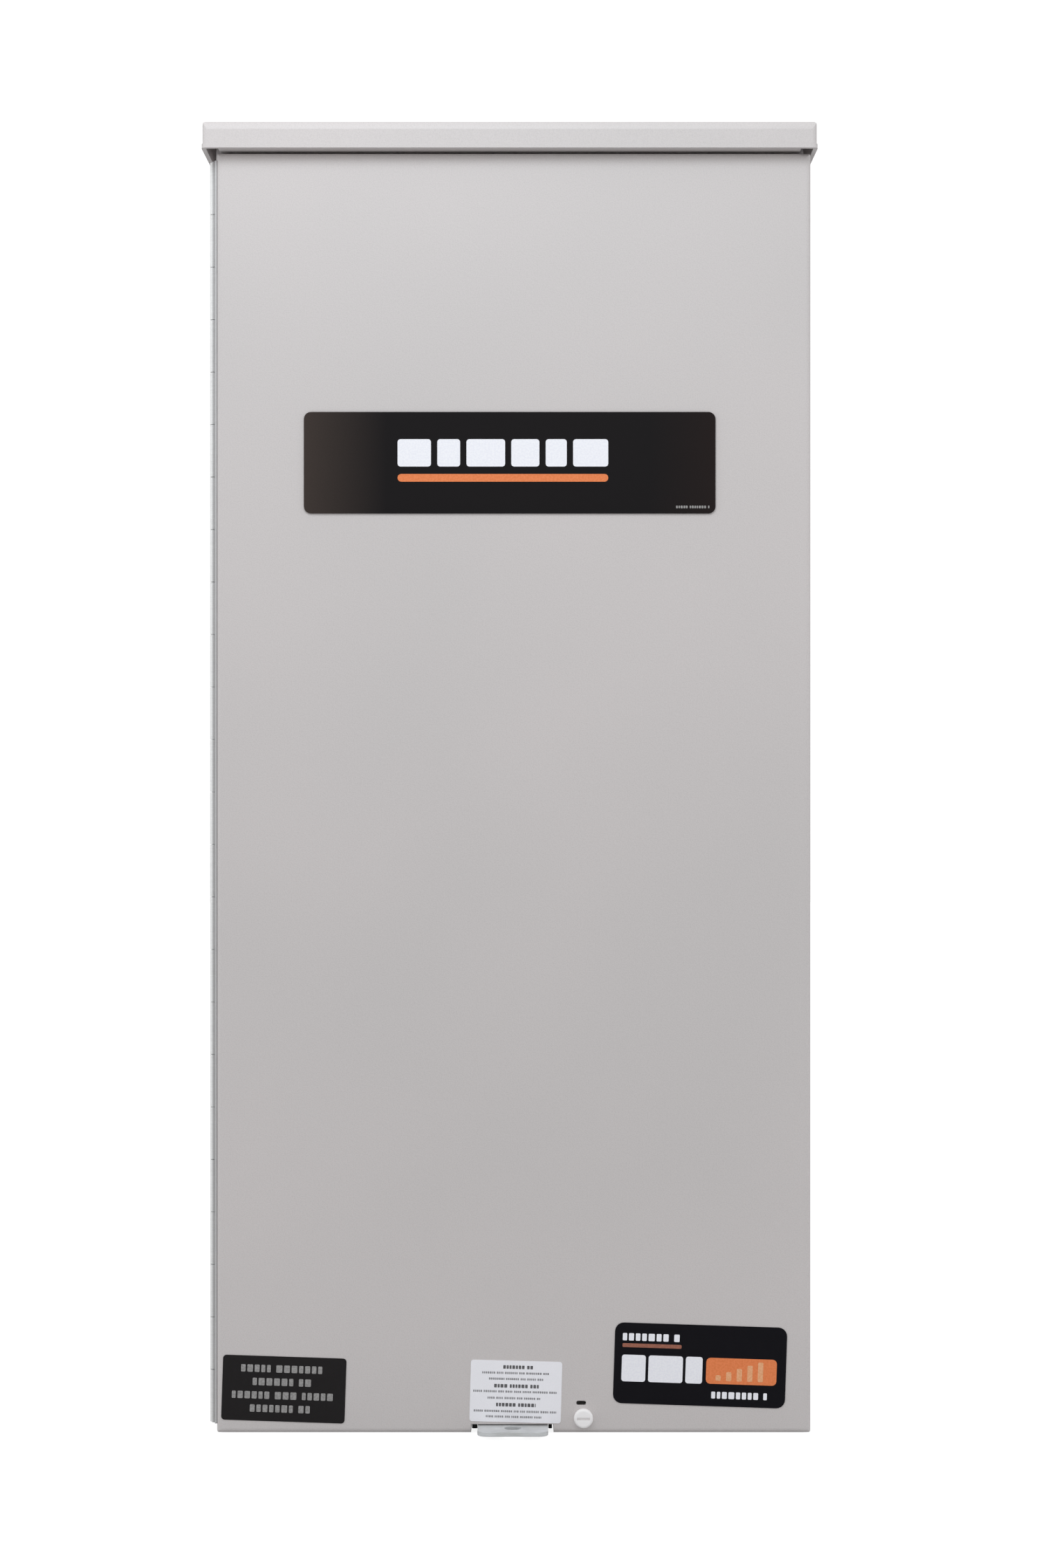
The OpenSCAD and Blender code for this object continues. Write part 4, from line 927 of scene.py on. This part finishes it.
def drawCapacitors(cans, top):
    radius, high = board["canRadius"], top + board["canHigh"]

    def sleeves(shape):
        for x, z in cans:
            tube(shape, x, z, radius + 0.25, radius - 0.1, top + 0.6, high + 0.2)
    makePiece("boardCapacitorSleeves", sleeves, extraFinishes["sleeveBlue"], "sensor_blue")

    def tops(shape):
        reach = 4 * math.sqrt(0.5)
        for x, z in cans:
            prism(shape, circle(x, z, radius - 0.2), high - 0.2, high + 0.05)
            for across in (reach, -reach):
                line(shape, (x - across, z - reach), (x + across, z + reach), 0.4, high, high + 0.12)
    makePiece("boardCapacitorTops", tops, extraFinishes["brightPlate"], "lug_aluminium")


def drawPlugs(plugs, top):
    high = top + board["plugHigh"]

    def plugShapes(shape):
        for a, b, c, d in plugs:
            for k in range(board["poles"]):
                tube(shape, a + 3 + 5 * k, (b + d) / 2, 1.9, 1.5, high - 0.2, high + 0.25, 18)
            slab(shape, a + 0.4, d - 0.2, c - 0.4, d + 0.8, top + 1, top + 8)
        a, b, c, d = board["socket"]
        for k in range(board["socketRibs"]):
            z = b + 2.2 + board["ribPitch"] * k
            slab(shape, a - 0.3, z, c + 0.3, z + 0.5, top + 2, top + board["socketHigh"] + 0.3)
    makePiece("boardPlugs", plugShapes, extraFinishes["plugGreen"], "board_green")

    def screws(shape):
        for a, b, c, d in plugs:
            for k in range(board["poles"]):
                slottedHead(shape, a + 3 + 5 * k, (b + d) / 2, 1.45, high - 0.1, high + 0.2, 0.4,
                            0.2, 0.4 * k)
    makePiece("boardPlugScrews", screws, extraFinishes["brightPlate"], "zinc_steel")


def drawLamps(name, finish, places, top):
    def lamps(shape):
        for x, z in places:
            prism(shape, circle(x, z, 1.5, 20), top - sink, top + 2.2)
            prism(shape, circle(x, z, 1.9, 20), top - sink, top + 0.6)
    makePiece(name, lamps, extraFinishes[finish], "monitor_white", easedEdge=0.3)


def drawSupplyVents(top):
    a, b, c, d = board["supply"]
    high = top + board["supplyHigh"]

    def vents(shape):
        slab(shape, a + 2, b + 2, c - 2, d - 2, high - 0.1, high + 0.6, 1.0)
        for k in range(board["vents"]):
            x = a + 4 + board["ventPitch"] * k
            slab(shape, x, b + 4, x + 1.4, d - 4, high + 0.5, high + 1.1)
    makePiece("boardSupplyVents", vents, extraFinishes["chipBlack"], "breaker_black")


def drawChipMarks(dice, top):
    blocks = wordBlocks(board["chipRows"], dice)
    (a, b, c, d), bigHigh, legs = board["chips"][0]

    def marks(shape):
        tube(shape, a + 3, d - 3, 1.0, 0.7, top + bigHigh - sink, top + bigHigh + 0.04, 16)
        for (x0, z0, x1, z1), high, legHigh in board["chips"]:
            onThis = [row for row in blocks if x0 < row[0] < x1 and z0 < row[1] < z1]
            bars(onThis, top + high - sink, top + high + 0.04)(shape)
    makePiece("boardChipMarks", marks, inks["grey"], "label_white")


def dressBoard():
    low, high = boxOf("control_board")[:2]
    top, corner = -low.y, board["corner"]
    edges = (low.x, low.z, high.x, high.z)
    chips, plugs, relays, cans = boardPlaces()
    taken = [board["supply"], board["socket"], *chips, *plugs, *relays]
    taken += [(x - 6, z - 6, x + 6, z + 6) for x, z in cans]
    taken += [(x, z, x + corner, z + corner) for x in (low.x, high.x - corner)
              for z in (low.z, high.z - corner)]
    dice = random.Random(board["seed"])
    parts, vias = scatterOnBoard(dice, taken, edges)
    drawSmallParts(parts, top)

    def viaRings(shape):
        for x, z in vias:
            tube(shape, x, z, 0.5, 0.22, top - sink, top + 0.05, 10)
    makePiece("boardVias", viaRings, extraFinishes["solder"], "standoff_brass")
    drawTracks(dice, edges, top)
    drawOutlines([board["supply"], *chips, plugs[0], board["socket"], *relays], parts, top)
    drawBoardRelays(relays, dice, top)
    drawCapacitors(cans, top)
    drawPlugs(plugs, top)
    drawLamps("boardLampsGreen", "lampGreen", board["greenLamps"], top)
    drawLamps("boardLampsYellow", "lampYellow", board["yellowLamps"], top)
    drawSupplyVents(top)
    drawChipMarks(dice, top)
    print("board dressed:", len(parts), "small parts,", len(vias), "vias")


strip = {"terminals": 8, "first": 7.6, "pitch": 12.4, "screw": 3.0, "slot": (0.8, 0.7),
         "card": (1, -10.7, 101, -7.9), "tag": (0.9, 1.8, 1.5)}


def dressTerminalStrip():
    low, middle = boxOf("terminal_strip")[::2]
    face, up = -low.y, middle.z
    middles = [low.x + strip["first"] + strip["pitch"] * k for k in range(strip["terminals"])]

    def heads(shape):
        for k, x in enumerate(middles):
            slottedHead(shape, x, up, strip["screw"], face - 3.2, face - 2.0, *strip["slot"], 0.5 + 0.8 * k)
    makePiece("stripScrewHeads", heads, extraFinishes["brightPlate"], "zinc_steel")

    plate("stripMarkerCard", moved(strip["card"], low.x, up), face - 5.98, face - 5.9, labelWhite)

    def tags(shape):
        width, height, pitch = strip["tag"]
        for k, x in enumerate(middles):
            for j in range(k % 3 + 1):
                left = x - 2 + pitch * j
                slab(shape, left, up - 10.2, left + width, up - 10.2 + height, face - 5.92, face - 5.84)
    makePiece("stripMarkers", tags, inks["darkGrey"], "label_black")


fuses = {"pitch": 18, "depth": 24.0, "length": 38.0, "capLength": 6.0, "capRadius": 5.35,
         "glassRadius": 5.12}


def dressFuses():
    # the fuses stand upright, so they are drawn looking down on them
    middle = boxOf("fuse_block")[2]
    half, capLength = fuses["length"] / 2, fuses["capLength"]
    along = Matrix(((1, 0, 0, 0), (0, -1, 0, -fuses["depth"] * mm),
                    (0, 0, -1, (middle.z + half) * mm), (0, 0, 0, 1)))
    middles = [middle.x + fuses["pitch"] * i for i in (-1, 0, 1)]

    def caps(shape):
        for x in middles:
            for start in (-0.1, fuses["length"] + 0.1 - capLength):
                prism(shape, circle(x, 0, fuses["capRadius"]), start, start + capLength)
    makePiece("fuseCaps", caps, extraFinishes["brightPlate"], "copper", place=along, easedEdge=0.5)

    def glass(shape):
        for x in middles:
            tube(shape, x, 0, fuses["glassRadius"], 4.9, 5.8, fuses["length"] - 5.8)
    makePiece("fuseSleeves", glass, extraFinishes["glass"], "monitor_white", place=along)


relayCard = {"half": (9, 11.5), "round": 0.8,
             "rows": [(0, 8.4, 12, 1.5), (0, 5.2, 14, 1.0), (0, -8.6, 11, 1.0)]}


def dressRelay(dice):
    low, middle = boxOf("relay")[::2]
    face, x, up = -low.y, middle.x, middle.z
    halfWidth, halfHeight = relayCard["half"]
    plate("relaySticker", (x - halfWidth, up - halfHeight, x + halfWidth, up + halfHeight),
          face - sink, face + 0.12, labelWhite, radius=relayCard["round"])
    blocks = wordBlocks([(x + right, up + row, width, height)
                         for right, row, width, height in relayCard["rows"]], dice)

    def marks(shape):
        inked = face + 0.1, face + 0.15
        bars(blocks, *inked)(shape)
        # a coil and a contact, as on a relay's own diagram
        frameLine(shape, x - 4, up - 1.5, 7, 6, 0.35, (0.3, 0.2), *inked)
        line(shape, (x + 0.5, up - 1.5), (x + 7, up + 1), 0.4, *inked)
        tube(shape, x + 7, up - 3.2, 0.7, 0.35, *inked, 12)
    makePiece("relayStickerMarks", marks, inks["darkGrey"], "label_black")


monitor = {
    "window": (-39.8, -5.8, 13.8, 17.8), "windowRound": 1.2,
    "figures": 4, "figureFirst": (-33, 1), "figurePitch": 11,
    "figure": (5.0, 10.2, 0.6),  # width, height, thickness of a bar
    "rows": [(-26, 23.5, 26, 2.2), (-22, -12, 34, 1.2), (-20, -15, 38, 1.2), (34, 18, 12, 1.2)],
    "band": (-46, 19.8, 46, 20.6), "lamps": 3, "lampFirst": (23, 14), "lampPitch": 7,
    "lampRadius": 1.3,
}


def dressMonitor(dice):
    low, middle = boxOf("monitor_module")[::2]
    face, x, z = -low.y, middle.x, middle.z
    plate("monitorWindow", moved(monitor["window"], x, z), face - 1.02, face - 0.35,
          extraFinishes["coverFilm"], "breaker_black", monitor["windowRound"], easedEdge=0.25)

    def figures(shape):
        # seven bars for each figure, as on any counter display
        width, height, thick = monitor["figure"]
        middle = (height - thick) / 2
        lying = [(thick, up, width - thick, up + thick) for up in (height - thick, middle, 0)]
        upright = [(side, up, side + thick, up + middle - 0.4)
                   for side in (0, width - thick) for up in (0.5, middle + 0.5)]
        for k in range(monitor["figures"]):
            right, up = monitor["figureFirst"]
            for bar in lying + upright:
                slab(shape, *moved(bar, x + right + monitor["figurePitch"] * k, z + up),
                     face - 0.37, face - 0.3)
    makePiece("monitorFigures", figures, extraFinishes["lampGreen"], "monitor_white")

    rows = [(x + right, z + up, width, height) for right, up, width, height in monitor["rows"]]
    words("monitorPrint", rows, dice, face - sink, face + 0.05)

    plate("monitorBand", moved(monitor["band"], x, z), face - sink, face + 0.05, inks["orange"])

    def lamps(shape):
        right, up = monitor["lampFirst"]
        for k in range(monitor["lamps"]):
            prism(shape, circle(x + right, z + up - monitor["lampPitch"] * k,
                                monitor["lampRadius"], 18), face - sink, face + 0.7)
    makePiece("monitorLamps", lamps, extraFinishes["lampGreen"], "monitor_white", easedEdge=0.3)


ties = {"ups": (0, -50, -100, -140), "half": 1.6}


def tieWires():
    def loops(shape):
        half = ties["half"]
        for up in ties["ups"]:
            slab(shape, 26.6, up - half, 37.4, up + half, 17.05, 18.2, 0.6)   # over the wires
            slab(shape, 36.2, up - half - 1, 39.6, up + half + 1, 14.2, 18.9, 0.6)  # the lock
            slab(shape, 26.2, up - half, 27.2, up + half, 12.2, 18.0)
    makePiece("wireTies", loops, extraFinishes["nylon"], "monitor_white", easedEdge=0.2)


coilCard = {"half": (7, 9), "fromEnd": 28, "seed": 71,
            "rows": [(4, 9, 1.3), (1, 10, 1.0), (-2, 8, 1.0)]}  # up, width, height


def dressCoils():
    low, high, middle = boxOf("coils")
    x, face = middle.x, -low.y
    ups = (low.z + coilCard["fromEnd"], high.z - coilCard["fromEnd"])
    halfWidth, halfHeight = coilCard["half"]

    def cards(shape):
        for z in ups:
            slab(shape, x - halfWidth, z - halfHeight, x + halfWidth, z + halfHeight,
                 face - 0.35, face + 0.25, 1.0)
    makePiece("coilLabels", cards, labelWhite, "label_white")
    rows = [(x, z + up, width, height) for z in ups for up, width, height in coilCard["rows"]]
    words("coilLabelPrint", rows, random.Random(coilCard["seed"]), face + 0.23, face + 0.3)


insideCard = {
    "seed": 61, "ink": 0.05, "border": (142, 172),
    "boxes": [(-52, 44, 26, 16), (-8, 44, 26, 16), (38, 44, 30, 16),
              (-52, 4, 26, 20), (-8, 4, 22, 20), (38, 4, 30, 26)],
    "links": [((-39, 44), (-21, 44)), ((5, 44), (23, 44)), ((-39, 6), (-19, 6)), ((3, 6), (23, 6)),
              ((-52, 36), (-52, 14)), ((-8, 36), (-8, 14)), ((38, 36), (38, 17)),
              ((-52, -6), (-52, -18)), ((-52, -18), (38, -18)), ((38, -18), (38, -9))],
    "tableTop": -30, "tableRows": 6, "rowPitch": 7, "columns": (-62, -34, 14, 62),
    "band": (-68, 72, 68, 83),
}


def drawCircuit(shape):
    film = (-0.01, insideCard["ink"])
    for x, y, width, height in insideCard["boxes"]:
        frameLine(shape, x, y, width, height, 0.7, (1.0, 0.5), *film)
    for start, end in insideCard["links"]:
        line(shape, start, end, 0.7, *film)
    frameLine(shape, 0, 0, *insideCard["border"], 0.6, (3, 2.5), *film)
    top, rows, pitch = insideCard["tableTop"], insideCard["tableRows"], insideCard["rowPitch"]
    left, right = insideCard["columns"][0], insideCard["columns"][-1]
    for k in range(rows + 1):
        line(shape, (left, top - pitch * k), (right, top - pitch * k), 0.35, *film)
    for x in insideCard["columns"]:
        line(shape, (x, top), (x, top - pitch * rows), 0.35, *film)


def printInsideCard():
    low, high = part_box("inner_label")
    middle = (low + high) / 2
    place = spot(middle.x, middle.z, high.y, 0, 1)
    film = (-0.01, insideCard["ink"])
    makePiece("insideCardDrawing", drawCircuit, inks["darkGrey"], "label_black", "door", place)
    dice = random.Random(insideCard["seed"])
    ups = [insideCard["tableTop"] - 3.5 - insideCard["rowPitch"] * k
           for k in range(insideCard["tableRows"])]
    rows = [(-48, up, 18, 1.8) for up in ups]
    rows += [(-10, up, dice.uniform(22, 40), 1.8) for up in ups]
    rows += [(38, up, dice.uniform(20, 40), 1.8) for up in ups]
    rows += [(x, y, width * 0.6, 2.0) for x, y, width, height in insideCard["boxes"]]
    rows += [(0, 62 + 4 * k, 96 - 14 * k, 2.0) for k in range(2)]
    words("insideCardWords", rows, dice, *film, "softGrey", body="door", place=place)
    plate("insideCardBand", insideCard["band"], *film, inks["orange"], radius=1.5, body="door", place=place)


printMainPlate()
printLeftCard()
printNoticeCard()
printRightCard()
print("labels printed")
dressOutside()
dressBreaker()
dressDeadFront()
dressBoard()
dressTerminalStrip()
dressFuses()
controlDice = random.Random(51)
dressRelay(controlDice)
dressMonitor(controlDice)
tieWires()
dressCoils()
printInsideCard()
print("inside dressed")
